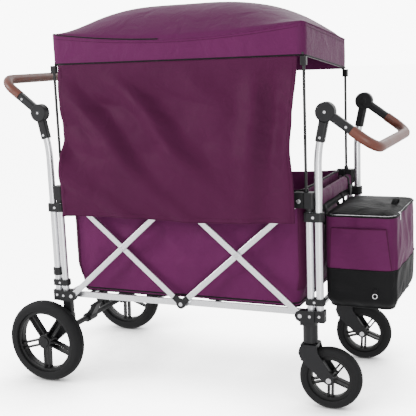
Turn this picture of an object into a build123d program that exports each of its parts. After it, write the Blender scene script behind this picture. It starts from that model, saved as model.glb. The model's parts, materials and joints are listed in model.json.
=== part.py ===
from build123d import *
import math
import os

# Folding stroller wagon.  +X points to the front (the end with the swivelling wheels and the storage bag),
# +Z up.  The origin is on the floor, midway between the four corner posts.  All sizes are millimetres.
# Corner parts are built at the front far corner (x > 0, y > 0) and mirrored to the other corners.

# ---- corner posts and tubes ----
POST_X = 430.0          # frame post, from mid-length
POST_Y = 250.0          # frame post and handle post, from mid-width
TUBE_R = 11.5           # outside radius of posts and handle tubes
POST_GAP = 2 * TUBE_R + 5       # frame post to handle post, centre to centre
TUBE_WALL = 1.7
FIXED_FIT = 0.15        # gap round a tube that is clamped
SLIDE_FIT = 0.3         # gap round a tube that slides
PIN_FIT = 0.07          # gap round a pivot pin
POST_TOP = 613.0
HANDLE_POST_X = POST_X + POST_GAP

# ---- scissor bars ----
PIVOT_X = POST_X - 30   # end pivots, on brackets inside the posts
LOW_Z = 298.0           # lower pivots
HIGH_Z = POST_TOP + 32  # upper pivots, on brackets above the posts
BAR_W = 19.0
BAR_T = 9.0
BAR_GAP = 1.5           # between the two bar planes
BAR_EDGE_R = 3.2
BAR_IN_Y = POST_Y - 3.0
BAR_OUT_Y = BAR_IN_Y + BAR_T + BAR_GAP
PIN_R = 3.5
HEAD_R = 6.5
HEAD_T = 2.5
FOLD_DEG = 32.5         # each bar turns this far when the wagon folds
OPEN_DEG = math.degrees(math.atan2(HIGH_Z - LOW_Z, PIVOT_X))
MID_Z = (LOW_Z + HIGH_Z) / 2
CROSS_X = PIVOT_X / 2
IN_MID = BAR_IN_Y + BAR_T / 2
OUT_MID = BAR_OUT_Y + BAR_T / 2
LAP_GAP = 0.4           # between the two halves of a lapped end
# beyond this radius two bars of one plane stay clear of each other when folded
LAP_R = BAR_W / 2 / math.sin(math.radians(90 - OPEN_DEG - FOLD_DEG)) + 2
EAR_L = 34.0            # the plastic ears reach this far from the lower hub pivot
EAR_ROUND = 15.0
HUB_PROUD = 1.0         # the front ear stands this far out of the bar plane

# ---- brackets and clamps ----
BLOCK_HALF = 16.0       # half thickness of a corner block across Y
PLATE_T = 4.3
BRACKET_H = 36.0
CLAMP_H = 28.0
LOW_CLAMP_H = 20.0
LOW_CLAMP_Z = LOW_Z + 43
BRACKET_BOTTOM = LOW_Z - 19.0
EAR_R = 17.0
SLIDER_R = TUBE_R - TUBE_WALL - SLIDE_FIT       # tubes that slide inside the posts
SLIDER_FOOT = LOW_Z + 74     # lower end of the tubes under the sliding corners
GUIDE_TOP = POST_TOP - 53       # upper end of the guides inside the rear handle posts
CROSS_TUBE_Z = POST_TOP - CLAMP_H / 2
CROSS_R = 9.0

# ---- wheels ----
REAR_R = 140.0
REAR_X = -(POST_X + 67)
REAR_Y = POST_Y + 37
REAR_W = 48.0
FRONT_R = 97.0
STEM_X = POST_X - 10
STEM_Y = POST_Y - 23
TRAIL = 62.0
FRONT_W = 40.0
TYRE_DEPTH_REAR = 33.0
TYRE_DEPTH_FRONT = 27.0
AXLE_R = 5.0
FORK_GAP = 3.0          # tyre to fork blade
FORK_T = 6.5
SPOKES = 5
LEG_T = 22.0            # thickness of a rear leg
AXLE_TUBE_R = 10.0
FORK_TOP = 2 * FRONT_R + 9
STEM_R = 8.0

# ---- handles ----
HINGE_TILT = 12.0       # the tube top leans outwards
BEND_START = POST_TOP + 137
BEND_END = BEND_START + 71
HINGE_REACH = 87.0      # from the bend's end to the hinge axis
HINGE_R = 29.0
HINGE_HALF = 15.0
HINGE_SPLIT = 0.25
ARM_W = 26.0
ARM_L = 92.0
HANDLE_LEN = 180.0      # hinge axis to the crossbar
HANDLE_CORNER_R = 56.0
GRIP_R = 15.5
CORE_R = 10.0
FRONT_ARM_DEG = -35.6
REAR_ARM_DEG = 38.0
REAR_LIFT = 8.0         # the rear handle posts are this much longer
HANDLE_TRAVEL = 120.0
BUTTON_R = 10.0
BUTTON_OUT = 3.0
BUTTON_LEN = 9.0
SOCKET_DEPTH = 34.0     # a handle tube reaches this far into its socket
BOLT_R = 4.0
BOLT_AT = 75.0          # clamp bolts, from the hinge axis

# ---- body of the wagon ----
TUB_HALF_X = POST_X - 28
TUB_HALF_Y = POST_Y - 31
TUB_BOTTOM = LOW_Z + 14
TUB_TOP = HIGH_Z + 28
CLOTH = 4.0
RAIL_T = 8.0
RAIL_H = 20.0
BOARD_LEN = PIVOT_X - 92
BOARD_T = 5.0
PAD_T = 16.0
PAD_GAP = 0.5
BACK_T = 20.0           # thickness of the backrests
FLOOR_HALF_Y = TUB_HALF_Y - 14
RAIL_GAP = 1.0
FRONT_RAIL_Y = TUB_HALF_Y + 3.5
REAR_RAIL_Y = FRONT_RAIL_Y + RAIL_T + RAIL_GAP

# ---- canopy ----
POLE_X = POST_X - 10
POLE_Y = POST_Y - 4
POLE_R = 4.5
POLE_FOOT = HIGH_Z + 12.0
BOW_X = POLE_X - 6
BOW_Y = POLE_Y - 6
CAP_HALF = 9.0
CANOPY_HALF_X = POLE_X + 5
CANOPY_HALF_Y = POLE_Y + 5
NEAR_HEM_Z = 1067.0
CANOPY_TILT = 52.0      # the far side sits this much lower
VALANCE_H = 102.0
SEAM_DIP = 36.0         # the roof seam is lower at mid-length
PEAK_Z = 1249.0
CURTAIN_HALF_X = POLE_X - 16
CURTAIN_BOTTOM = 575.0

# ---- storage bag ----
BAG_BACK = POST_X + 17
BAG_FRONT = BAG_BACK + 223
BAG_HALF_Y = POST_Y - 78
BAG_BOTTOM = LOW_Z
BAG_TOP = POST_TOP - 25
BAG_SPLIT = BAG_BOTTOM + 127       # purple above, black below
BAG_CHAMFER = 30.0
LID_T = 10.0
LID_GAP = 0.6
LID_BACK = 10.0         # the lid's hinge edge stands this far in from the bag's back


# ---------------------------------------------------------------- helpers
def cyl_y(x, y0, y1, z, r):
    """Round bar along Y."""
    return Pos(x, (y0 + y1) / 2, z) * Rot(90, 0, 0) * Cylinder(r, abs(y1 - y0))


def cyl_z(x, y, z0, z1, r):
    """Round bar along Z."""
    return Pos(x, y, (z0 + z1) / 2) * Cylinder(r, z1 - z0)


def block(x0, x1, y0, y1, z0, z1):
    return Pos((x0 + x1) / 2, (y0 + y1) / 2, (z0 + z1) / 2) * Box(x1 - x0, y1 - y0, z1 - z0)


def soft_block(x0, x1, y0, y1, z0, z1, r):
    """Block with its upright edges rounded."""
    b = block(x0, x1, y0, y1, z0, z1)
    return fillet(b.edges().filter_by(Axis.Z), r)


def plate_xz(points, y0, y1):
    """Flat plate standing in the XZ plane, from an outline of (x, z) points."""
    face = make_face(Polyline([(x, y0, z) for x, z in points], close=True))
    return extrude(face, amount=y1 - y0, dir=(0, 1, 0))


def rod(a, b, r):
    """Round bar between two points."""
    start, end = Vector(*a), Vector(*b)
    way = end - start
    return Plane(origin=start, z_dir=way) * (Pos(0, 0, way.length / 2) * Cylinder(r, way.length))


def near_far(shape):
    """The far-side piece and its mirror on the near side."""
    return [shape, mirror(shape, about=Plane.XZ)]


def same(shapes):
    return shapes


def at_rear(shapes):
    """The same pieces at the rear end."""
    return [mirror(s, about=Plane.YZ) for s in shapes]


def solids_of(shapes):
    found = []
    for s in shapes:
        found += s.solids()
    return Compound(children=found) if len(found) > 1 else found[0]


NODES = {}


def node(name, *shapes):
    NODES[name] = solids_of(shapes)


# ---------------------------------------------------------------- scissor bars
def bar(x0, z0, x1, z1, y0):
    """A flat bar with round ends and eased edges, from pivot to pivot."""
    length = math.hypot(x1 - x0, z1 - z0)
    angle = math.degrees(math.atan2(z1 - z0, x1 - x0))
    flat = extrude(SlotCenterToCenter(length, BAR_W), amount=BAR_T)
    sides = flat.faces().sort_by(Axis.Z)
    flat = fillet(sides[0].edges() + sides[-1].edges(), BAR_EDGE_R)
    standing = Rot(0, -angle, 0) * Rot(90, 0, 0) * flat
    return Pos((x0 + x1) / 2, y0 + BAR_T, (z0 + z1) / 2) * standing


def bar_hole(x, z):
    return cyl_y(x, BAR_IN_Y - 5, BAR_OUT_Y + BAR_T + 5, z, PIN_R + PIN_FIT)


def pin(x, z, y0, y1):
    """Rivet with a low head at its outer end and a washer head at its inner end."""
    shank = cyl_y(x, y0, y1, z, PIN_R)
    outer = cyl_y(x, y1, y1 + HEAD_T, z, HEAD_R)
    outer = chamfer(outer.faces().sort_by(Axis.Y)[-1].edges(), HEAD_T * 0.45)
    return shank + outer + cyl_y(x, y0 - HEAD_T, y0, z, HEAD_R)


def hub_ear(s, y0, y1):
    """Plastic end fitting from a bar's square end to the eye at the lower hub; s picks the bar's side."""
    eye = cyl_y(0, y0, y1, 0, EAR_ROUND)
    outline = [(0, -EAR_ROUND * 0.75), (EAR_L, -BAR_W / 2), (EAR_L, BAR_W / 2), (0, EAR_ROUND * 0.9)]
    arm = plate_xz(outline, y0, y1)
    ear = Pos(0, 0, LOW_Z) * Rot(0, -OPEN_DEG, 0) * (eye + arm)
    ear -= bar_hole(0, LOW_Z)
    return ear if s > 0 else mirror(ear, about=Plane.YZ)


def square_end(s):
    """Cutter that ends a bar square at its ear."""
    cut = block(-60, EAR_L + 0.2, BAR_IN_Y - 1, BAR_OUT_Y - 0.2, -30, 30)
    cut = Pos(0, 0, LOW_Z) * Rot(0, -OPEN_DEG, 0) * cut
    return cut if s > 0 else mirror(cut, about=Plane.YZ)


def scissor():
    """Bars a and c lie in the inner plane and meet at the lower hub; b and d, outside them, meet above it."""
    a = bar(-PIVOT_X, HIGH_Z, 0, LOW_Z, BAR_IN_Y) - bar_hole(-PIVOT_X, HIGH_Z)
    a -= bar_hole(-CROSS_X, MID_Z) + square_end(-1)
    c = bar(0, LOW_Z, PIVOT_X, HIGH_Z, BAR_IN_Y) - bar_hole(PIVOT_X, HIGH_Z)
    c -= bar_hole(CROSS_X, MID_Z) + square_end(1)
    b = bar(-PIVOT_X, LOW_Z, 0, HIGH_Z, BAR_OUT_Y) - bar_hole(-PIVOT_X, LOW_Z) - bar_hole(0, HIGH_Z)
    b -= bar_hole(-CROSS_X, MID_Z) + cyl_y(0, BAR_OUT_Y - 1, OUT_MID + LAP_GAP / 2, HIGH_Z, LAP_R)
    d = bar(0, HIGH_Z, PIVOT_X, LOW_Z, BAR_OUT_Y) - bar_hole(PIVOT_X, LOW_Z)
    d -= cyl_y(0, BAR_OUT_Y - 1, OUT_MID, HIGH_Z, PIN_R + SLIDE_FIT)
    d -= bar_hole(CROSS_X, MID_Z)
    d -= cyl_y(0, OUT_MID - LAP_GAP / 2, BAR_OUT_Y + BAR_T + 1, HIGH_Z, LAP_R)
    node("scissor_bars_a", *near_far(a))
    node("scissor_bars_b", *near_far(b))
    node("scissor_bars_c", *near_far(c))
    node("scissor_bars_d", *near_far(d))
    hub_face = BAR_IN_Y + BAR_T + HUB_PROUD
    node("hub_ears_rear", *near_far(hub_ear(-1, BAR_IN_Y, IN_MID - LAP_GAP / 2)))
    node("hub_ears_front", *near_far(hub_ear(1, IN_MID + LAP_GAP / 2, hub_face)))
    outer_face = BAR_OUT_Y + BAR_T
    cross = [pin(s * CROSS_X, MID_Z, BAR_IN_Y - 0.3, outer_face + 0.3) for s in (-1, 1)]
    hub_pin = pin(0, LOW_Z, BAR_IN_Y - 0.3, hub_face)
    node("scissor_pins_front", *near_far(cross[1]), *near_far(hub_pin))
    top = cyl_y(0, BAR_OUT_Y + 0.3, outer_face, HIGH_Z, PIN_R)
    top += chamfer(cyl_y(0, outer_face, outer_face + HEAD_T, HIGH_Z, HEAD_R).edges(), 0.6)
    node("scissor_pins_rear", *near_far(cross[0]), *near_far(top))


# ---------------------------------------------------------------- corner hardware
def tube(x, y, z0, z1):
    return cyl_z(x, y, z0, z1, TUBE_R) - cyl_z(x, y, z0 - 1, z1 + 1, TUBE_R - TUBE_WALL)


def bottom_bracket():
    """Block that holds both posts, with a fork for the outer bar and a lug for the lower rail."""
    z0, z1 = BRACKET_BOTTOM, BRACKET_BOTTOM + BRACKET_H
    core = block(POST_X - 18, HANDLE_POST_X + 16, POST_Y - BLOCK_HALF, POST_Y + BLOCK_HALF, z0, z1)
    core = fillet(core.edges().filter_by(Axis.Z), 5)
    outer0 = BAR_OUT_Y + BAR_T + 0.4
    core += block(POST_X - 18, POST_X + 14, POST_Y, outer0 + PLATE_T, z0, z1)
    slant = EAR_R * 0.7
    ear = [(POST_X - 10, z0), (POST_X - 10, z1), (PIVOT_X, LOW_Z + EAR_R), (PIVOT_X - slant, LOW_Z + slant),
           (PIVOT_X - EAR_R, LOW_Z), (PIVOT_X - slant, LOW_Z - slant), (PIVOT_X, z0)]
    core += plate_xz(ear, outer0, outer0 + PLATE_T)
    core += plate_xz(ear, BAR_OUT_Y - 0.6 - PLATE_T, BAR_OUT_Y - 0.6)
    core -= cyl_y(PIVOT_X, POST_Y - 40, POST_Y + 40, LOW_Z, PIN_R + PIN_FIT)
    core -= cyl_z(POST_X, POST_Y, LOW_Z - 8, z1 + 1, TUBE_R + FIXED_FIT)
    core -= cyl_z(HANDLE_POST_X, POST_Y, LOW_Z - 8, z1 + 1, TUBE_R + SLIDE_FIT)
    return core


def clamp(z, height):
    """Two-hole clamp round a frame post and a handle post."""
    body = block(POST_X - 16, HANDLE_POST_X + 16, POST_Y - BLOCK_HALF, POST_Y + BLOCK_HALF,
                 z - height / 2, z + height / 2)
    body = fillet(body.edges().filter_by(Axis.Z), 12)
    body = chamfer(body.faces().sort_by(Axis.Z)[-1].edges(), 1.5)
    body -= cyl_z(POST_X, POST_Y, z - height, z + height, TUBE_R + FIXED_FIT)
    return body - cyl_z(HANDLE_POST_X, POST_Y, z - height, z + height, TUBE_R + SLIDE_FIT)


def top_bracket():
    """Sliding corner: block, fork for the inner bar, sleeve below and pole socket above."""
    z0, z1 = HIGH_Z - 20, HIGH_Z + 27
    core = soft_block(POST_X - 16, POST_X + 16, POST_Y - BLOCK_HALF, POST_Y + BLOCK_HALF, z0, z1, 6)
    ear = [(POST_X - 10, z0), (POST_X - 10, z1), (PIVOT_X - 13, z1), (PIVOT_X - 15, z0)]
    outer = BAR_IN_Y + BAR_T + 0.3
    core += plate_xz(ear, outer, outer + PLATE_T)
    core += plate_xz(ear, BAR_IN_Y - 0.4 - PLATE_T, BAR_IN_Y - 0.4)
    core -= cyl_y(PIVOT_X, POST_Y - 40, POST_Y + 40, HIGH_Z, PIN_R + PIN_FIT)
    core += cyl_z(POST_X, POST_Y, POST_TOP + 0.5, z0 + 1, TUBE_R)
    core += cyl_z(POLE_X, POLE_Y, z1 - 1, z1 + 10, POLE_R + 3)
    core -= cyl_z(POST_X, POST_Y, POST_TOP - 1, HIGH_Z + 6, SLIDER_R + FIXED_FIT)
    return core - cyl_z(POLE_X, POLE_Y, POLE_FOOT, z1 + 20, POLE_R + FIXED_FIT)


def rivet_dot(x, z, y, r=4.5):
    """Silver rivet head on the outer face of a block."""
    return chamfer(cyl_y(x, y, y + 2.2, z, r).faces().sort_by(Axis.Y)[-1].edges(), 1.0)


def end_frame(name, ends, is_rear):
    """Posts, brackets, clamps, cross tubes and fasteners of one end; ends mirrors them there."""
    reach = POST_Y - BLOCK_HALF
    tubes = near_far(tube(POST_X, POST_Y, LOW_Z - 8, POST_TOP))
    tubes += [rod((POST_X, -reach, z), (POST_X, reach, z), CROSS_R) for z in (LOW_Z, CROSS_TUBE_Z)]
    if is_rear:
        tubes += near_far(cyl_z(HANDLE_POST_X, POST_Y, LOW_Z - 8, GUIDE_TOP, SLIDER_R))
    node(name + "_frame_tubes", *ends(tubes))
    holders = near_far(bottom_bracket())
    holders += near_far(clamp(POST_TOP - CLAMP_H / 2, CLAMP_H)) + near_far(clamp(LOW_CLAMP_Z, LOW_CLAMP_H))
    node(name + "_post_brackets", *ends(holders))
    face = POST_Y + BLOCK_HALF
    dots = [rivet_dot(POST_X + POST_GAP / 2, POST_TOP - CLAMP_H / 2, face),
            rivet_dot(POST_X + POST_GAP / 2, LOW_CLAMP_Z, face, 4),
            rivet_dot(POST_X, LOW_Z, BAR_OUT_Y + BAR_T + 0.4 + PLATE_T),
            rivet_dot(HANDLE_POST_X, LOW_Z, face)]
    if not is_rear:
        dots.append(socket_bolt(0.0))
    inner = (REAR_RAIL_Y if is_rear else FRONT_RAIL_Y) - 0.4
    dots.append(pin(PIVOT_X, LOW_Z, inner, BAR_OUT_Y + BAR_T + 0.4 + PLATE_T))
    shapes = [s for d in dots for s in near_far(d)]
    if is_rear:
        tip = REAR_Y + REAR_W * 0.45 - 0.3
        shapes.append(rod((-REAR_X, -tip, REAR_R), (-REAR_X, tip, REAR_R), AXLE_R))
    node(name + "_fasteners", *ends(shapes))


def end_slider(name, ends):
    """Top corners that rise along the posts as the frame folds, with the canopy poles they carry."""
    node(name + "_top_brackets", *ends(near_far(top_bracket())))
    outer = BAR_IN_Y + BAR_T + 0.3 + PLATE_T
    reach = POST_Y - BLOCK_HALF
    slides = near_far(cyl_z(POST_X, POST_Y, SLIDER_FOOT, HIGH_Z + 6, SLIDER_R))
    slides += near_far(pin(PIVOT_X, HIGH_Z, BAR_IN_Y - 0.4 - PLATE_T, outer))
    slides += [rod((POST_X, -reach, HIGH_Z), (POST_X, reach, HIGH_Z), CROSS_R)]
    node(name + "_slide_tubes", *ends(slides))
    poles = [cyl_z(POLE_X, y, POLE_FOOT, hem_z(y) - 4, POLE_R) for y in (POLE_Y, -POLE_Y)]
    node(name + "_canopy_poles", *ends(poles + [canopy_bow()]))


def hem_z(y):
    """Height of the canopy's lower edge, which falls from the near side to the far side."""
    return NEAR_HEM_Z - CANOPY_TILT * (y + CANOPY_HALF_Y) / (2 * CANOPY_HALF_Y)


def canopy_bow():
    """Corner connectors on the pole tops with the cross bar that holds the canopy's end from inside."""
    body = rod((BOW_X, -BOW_Y, hem_z(-BOW_Y) + 6), (BOW_X, BOW_Y, hem_z(BOW_Y) + 6), POLE_R - 0.5)
    for y in (POLE_Y, -POLE_Y):
        top = hem_z(y + CAP_HALF) - 0.5
        inner = math.copysign(BOW_Y, y)
        cap = soft_block(POLE_X - CAP_HALF, POLE_X + CAP_HALF, y - CAP_HALF, y + CAP_HALF, top - 25, top, 3)
        body += cap - cyl_z(POLE_X, y, top - 30, hem_z(y) - 4, POLE_R + FIXED_FIT)
        body += cyl_z(BOW_X, inner, top - 1, hem_z(inner) + 11, POLE_R + 0.8)
    return body


# ---------------------------------------------------------------- floor
def floor_half(name, s):
    """Lower side rails, cross tubes and floor board of one end; they swing up about the low pivots."""
    y0 = FRONT_RAIL_Y if s > 0 else REAR_RAIL_Y
    rail = block(-12, PIVOT_X, y0, y0 + RAIL_T, LOW_Z - RAIL_H / 2, LOW_Z + RAIL_H / 2)
    rail += cyl_y(PIVOT_X, y0, y0 + RAIL_T, LOW_Z, RAIL_H / 2)
    rail += cyl_y(-12, y0, y0 + RAIL_T, LOW_Z, RAIL_H / 2)
    rail -= cyl_y(PIVOT_X, y0 - 1, y0 + RAIL_T + 1, LOW_Z, PIN_R + PIN_FIT)
    bars = [rod((x, -y0, LOW_Z - 1), (x, y0, LOW_Z - 1), 7) for x in (PIVOT_X - 45, PIVOT_X - BOARD_LEN + 10)]
    place = same if s > 0 else at_rear
    node(name + "_rails", *place(near_far(rail) + bars))
    far_x = PIVOT_X - 20
    board = soft_block(far_x - BOARD_LEN, far_x, -FLOOR_HALF_Y, FLOOR_HALF_Y,
                       LOW_Z + 6, LOW_Z + 6 + BOARD_T, 12)
    node(name + "_floor_board", *place([board]))


# ---------------------------------------------------------------- wheels
def tyre(r, width, depth):
    """Treaded foam tyre: a rounded band with two shallow grooves, turned about Y."""
    prof = Pos(r - depth / 2, 0) * Rectangle(depth, width)
    prof = fillet(prof.vertices().sort_by(Axis.X)[-2:], width * 0.4)
    prof = fillet(prof.vertices().sort_by(Axis.X)[:2], 4)
    body = revolve(prof, Axis.Y)
    for y in (-width * 0.13, width * 0.13):
        groove = Pos(r, y) * Rectangle(3.0, 2.4)
        body -= revolve(groove, Axis.Y)
    return body


def rim(r, width, hub_r, bore):
    """Moulded rim: a channel under the tyre, a drum hub and five double ribs."""
    ring = revolve(Pos(r - 5, 0) * Rectangle(10, width * 0.66), Axis.Y)
    lip = revolve(Pos(r - 9, 0) * Rectangle(4, width * 0.3), Axis.Y)
    hub = fillet((Rot(90, 0, 0) * Cylinder(hub_r, width * 0.9)).edges(), 2.5)
    body = ring + lip + hub
    reach = r - 8 - hub_r * 0.7
    for k in range(SPOKES):
        turn = Rot(0, 360 * k / SPOKES + 20, 0)
        for side in (-1, 1):
            rib = Pos(hub_r * 0.7 + reach / 2, 0, side * hub_r * 0.36) * Box(reach, width * 0.42, 5.5)
            body += turn * rib
    return body - Rot(90, 0, 0) * Cylinder(bore, width * 2)


def wheel(name, centre, r, width, depth, hub_r, bore, s, has_cap):
    """Tyre and rim of one wheel; s picks the side that the hub cap faces."""
    seat = r - depth
    at = Pos(*centre)
    cap = Pos(0, s * (width * 0.45 + 1.6), 0) * Rot(90, 0, 0) * Cylinder(hub_r * 0.72, 3)
    cap = fillet(cap.faces().sort_by(Axis.Y)[-1 if s > 0 else 0].edges(), 1.2)
    pieces = [at * rim(seat - FIXED_FIT, width, hub_r, bore)] + ([at * cap] if has_cap else [])
    node(name + "_tyre", at * tyre(r, width, depth))
    node(name + "_rim", *pieces)


def rear_wheels():
    for name, s in (("rear_wheel_far", 1), ("rear_wheel_near", -1)):
        at = (REAR_X, s * REAR_Y, REAR_R)
        wheel(name, at, REAR_R, REAR_W, TYRE_DEPTH_REAR, 25, AXLE_R + PIN_FIT, s, True)
    inner = REAR_Y - REAR_W / 2 - 2
    axle_tube = rod((REAR_X, -inner + LEG_T, REAR_R), (REAR_X, inner - LEG_T, REAR_R), AXLE_TUBE_R)
    axle_tube -= rod((REAR_X, -inner, REAR_R), (REAR_X, inner, REAR_R), AXLE_R + FIXED_FIT)
    node("rear_legs", *at_rear(near_far(rear_leg(inner))), axle_tube)


def rear_leg(inner):
    """Drop leg under the bracket with the arm that carries the wheel, drawn at the front and mirrored."""
    out = inner
    leg = soft_block(POST_X - 22, POST_X + 12, out - LEG_T, out - 0.5, 196, BRACKET_BOTTOM, 5)
    ax = -REAR_X
    arm = [(POST_X - 22, 232), (POST_X + 12, 232), (ax + 16, REAR_R + 14), (ax + 18, REAR_R - 8),
           (ax, REAR_R - 20), (ax - 18, REAR_R - 10), (POST_X - 22, 190)]
    body = leg + plate_xz(arm, out - LEG_T, out)
    body += cyl_y(ax, out - LEG_T, out, REAR_R, 20)
    return body - cyl_y(ax, out - 2 * LEG_T, out + 5, REAR_R, AXLE_R + FIXED_FIT)


def brake_pedal():
    """Foot lever that turns on the axle tube, at mid-width."""
    ring = cyl_y(REAR_X, -26, 26, REAR_R, 17)
    lever = plate_xz([(REAR_X - 10, REAR_R + 8), (REAR_X + 14, REAR_R + 4), (REAR_X + 42, REAR_R + 52),
                      (REAR_X + 30, REAR_R + 58)], -20, 20)
    paddle = Pos(REAR_X + 40, 0, REAR_R + 58) * Rot(0, -30, 0) * Box(42, 66, 8)
    paddle = fillet(paddle.edges().filter_by(Axis.Z, tolerance=40), 2)
    body = ring + lever + paddle
    node("brake_pedal", body - cyl_y(REAR_X, -40, 40, REAR_R, AXLE_TUBE_R + SLIDE_FIT))


def caster(name, s):
    """Fork, stem and axle of one front wheel, trailing to +X."""
    half = FRONT_W / 2 + FORK_GAP
    wx = STEM_X + TRAIL
    blades = []
    for k in (-1, 1):
        y0 = min(k * half, k * (half + FORK_T))
        lobe = [(STEM_X - 26, 160), (STEM_X - 32, 176), (STEM_X - 28, 194), (STEM_X - 14, FORK_TOP),
                (STEM_X + 24, FORK_TOP), (STEM_X + 30, 178), (wx + 15, FRONT_R + 10), (wx + 13, FRONT_R - 10),
                (wx, FRONT_R - 16), (wx - 15, FRONT_R - 8), (STEM_X - 16, 146)]
        blades.append(plate_xz(lobe, y0, y0 + FORK_T))
    blades = [fillet(b.edges().filter_by(Axis.Y), 5) for b in blades]
    crown = block(STEM_X - 26, STEM_X + 24, -half - 1, half + 1, 150, FORK_TOP)
    body = blades[0] + blades[1] + crown
    body -= cyl_y(wx, -half, half, FRONT_R, FRONT_R + 4)
    body += cyl_z(STEM_X, 0, FORK_TOP - 2, FORK_TOP + 58, STEM_R)
    body -= cyl_y(wx, -60, 60, FRONT_R, 4 + FIXED_FIT)
    node(name + "_fork", Pos(0, s * STEM_Y, 0) * body)
    tip = half + FORK_T
    bolt = cyl_y(wx, -tip, tip, FRONT_R, 4)
    bolt += cyl_y(wx, tip, tip + 3, FRONT_R, 8) + cyl_y(wx, -tip - 3, -tip, FRONT_R, 8)
    node(name + "_axle", Pos(0, s * STEM_Y, 0) * bolt)
    at = (wx, s * STEM_Y, FRONT_R)
    wheel(name + "_wheel", at, FRONT_R, FRONT_W, TYRE_DEPTH_FRONT, 17, 4 + PIN_FIT, s, False)


def caster_housing():
    """Upright tube that takes the fork stem, bolted under the bracket."""
    body = cyl_z(STEM_X, STEM_Y, FORK_TOP + 1, BRACKET_BOTTOM, 23)
    body = chamfer(body.faces().sort_by(Axis.Z)[0].edges(), 2)
    flange = block(STEM_X - 24, STEM_X + 26, STEM_Y - 20, POST_Y + BLOCK_HALF - 2,
                   BRACKET_BOTTOM - 12, BRACKET_BOTTOM)
    body += fillet(flange.edges().filter_by(Axis.Z), 6)
    return body - cyl_z(STEM_X, STEM_Y, FORK_TOP - 5, FORK_TOP + 60, STEM_R + PIN_FIT)


# ---------------------------------------------------------------- handles
def hinge_axis(lift):
    """(x, z) of a handle's hinge, for the front end."""
    lean = math.radians(HINGE_TILT)
    bend_r = (BEND_END - BEND_START) / math.sin(lean)
    x = HANDLE_POST_X + bend_r * (1 - math.cos(lean)) + HINGE_REACH * math.sin(lean)
    return x, BEND_END + lift + HINGE_REACH * math.cos(lean)


def handle_tube(lift, foot):
    """Post that rises straight, bends outwards and ends inside the hinge socket."""
    lean = math.radians(HINGE_TILT)
    bend_r = (BEND_END - BEND_START) / math.sin(lean)
    start = (HANDLE_POST_X, POST_Y, BEND_START + lift)
    top_x = HANDLE_POST_X + bend_r * (1 - math.cos(lean))
    mid_x = HANDLE_POST_X + bend_r * (1 - math.cos(lean / 2))
    mid = (mid_x, POST_Y, BEND_START + lift + bend_r * math.sin(lean / 2))
    end = (top_x, POST_Y, BEND_END + lift)
    upper = (top_x + SOCKET_DEPTH * math.sin(lean), POST_Y, end[2] + SOCKET_DEPTH * math.cos(lean))
    path = Line((HANDLE_POST_X, POST_Y, foot), start) + ThreePointArc(start, mid, end) + Line(end, upper)
    ring = Circle(TUBE_R) - Circle(TUBE_R - TUBE_WALL)
    ring = Plane(origin=(HANDLE_POST_X, POST_Y, foot), z_dir=(0, 0, 1)) * ring
    return sweep(ring, path=path)


def hinge_socket(lift):
    """Neck that grips the tube's top, with the inner half of the hinge drum."""
    ax, az = hinge_axis(lift)
    frame = Plane(origin=(ax, POST_Y, az), x_dir=(1, 0, 0), z_dir=(0, -1, 0))
    drum = frame * (Pos(0, 0, HINGE_HALF / 2 + HINGE_SPLIT / 2) * Cylinder(HINGE_R, HINGE_HALF - HINGE_SPLIT))
    drum = chamfer(drum.faces().sort_by(Axis.Y)[0].edges(), 2)
    neck_l = HINGE_REACH
    neck = Pos(0, 0, -neck_l / 2) * Box(ARM_W + 1, 2 * HINGE_HALF - 2, neck_l)
    neck = fillet(neck.edges().filter_by(Axis.Z), 7)
    bore = Pos(0, 0, -neck_l) * Cylinder(TUBE_R + FIXED_FIT, 2 * (SOCKET_DEPTH + 0.5))
    neck = Pos(ax, POST_Y, az) * Rot(0, HINGE_TILT, 0) * (neck - bore)
    neck -= cyl_y(ax, POST_Y - HINGE_SPLIT, POST_Y + 40, az, HINGE_R + 1.0)
    body = drum + neck
    body -= cyl_y(ax, POST_Y - HINGE_HALF - 1, POST_Y - 1, az, BUTTON_R + PIN_FIT)
    return body - cyl_y(ax, POST_Y - 5, POST_Y + 5, az, BOLT_R + PIN_FIT)


def hinge_arm(lift, deg):
    """Outer half of the drum and the arm that grips the handle's core tube."""
    ax, az = hinge_axis(lift)
    drum = cyl_y(0, HINGE_SPLIT, HINGE_HALF, 0, HINGE_R)
    drum = chamfer(drum.faces().sort_by(Axis.Y)[-1].edges(), 2.5)
    arm = block(6, ARM_L, -HINGE_HALF + 2, HINGE_HALF - 2, -ARM_W / 2, ARM_W / 2)
    arm = fillet(arm.edges().filter_by(Axis.X), 7)
    arm -= cyl_y(0, -40, HINGE_SPLIT, 0, HINGE_R + 1.0)
    body = drum + arm
    body -= Pos(ARM_L, 0, 0) * Rot(0, 90, 0) * Cylinder(CORE_R + FIXED_FIT, 2 * 33)
    body -= cyl_y(0, -5, HINGE_HALF + 5, 0, BOLT_R + PIN_FIT)
    return Pos(ax, POST_Y, az) * Rot(0, -deg, 0) * body


def u_path(x_start):
    """Flat U from one arm to the other, in the hinge's own XY plane."""
    r = HANDLE_CORNER_R
    q = r * (1 - math.sqrt(0.5))
    p = POST_Y
    e = HANDLE_LEN
    near = Line((x_start, -p, 0), (e - r, -p, 0))
    near += ThreePointArc((e - r, -p, 0), (e - q, -p + q, 0), (e, -p + r, 0))
    far = ThreePointArc((e, p - r, 0), (e - q, p - q, 0), (e - r, p, 0))
    far += Line((e - r, p, 0), (x_start, p, 0))
    return near + Line((e, -p + r, 0), (e, p - r, 0)) + far


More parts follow.
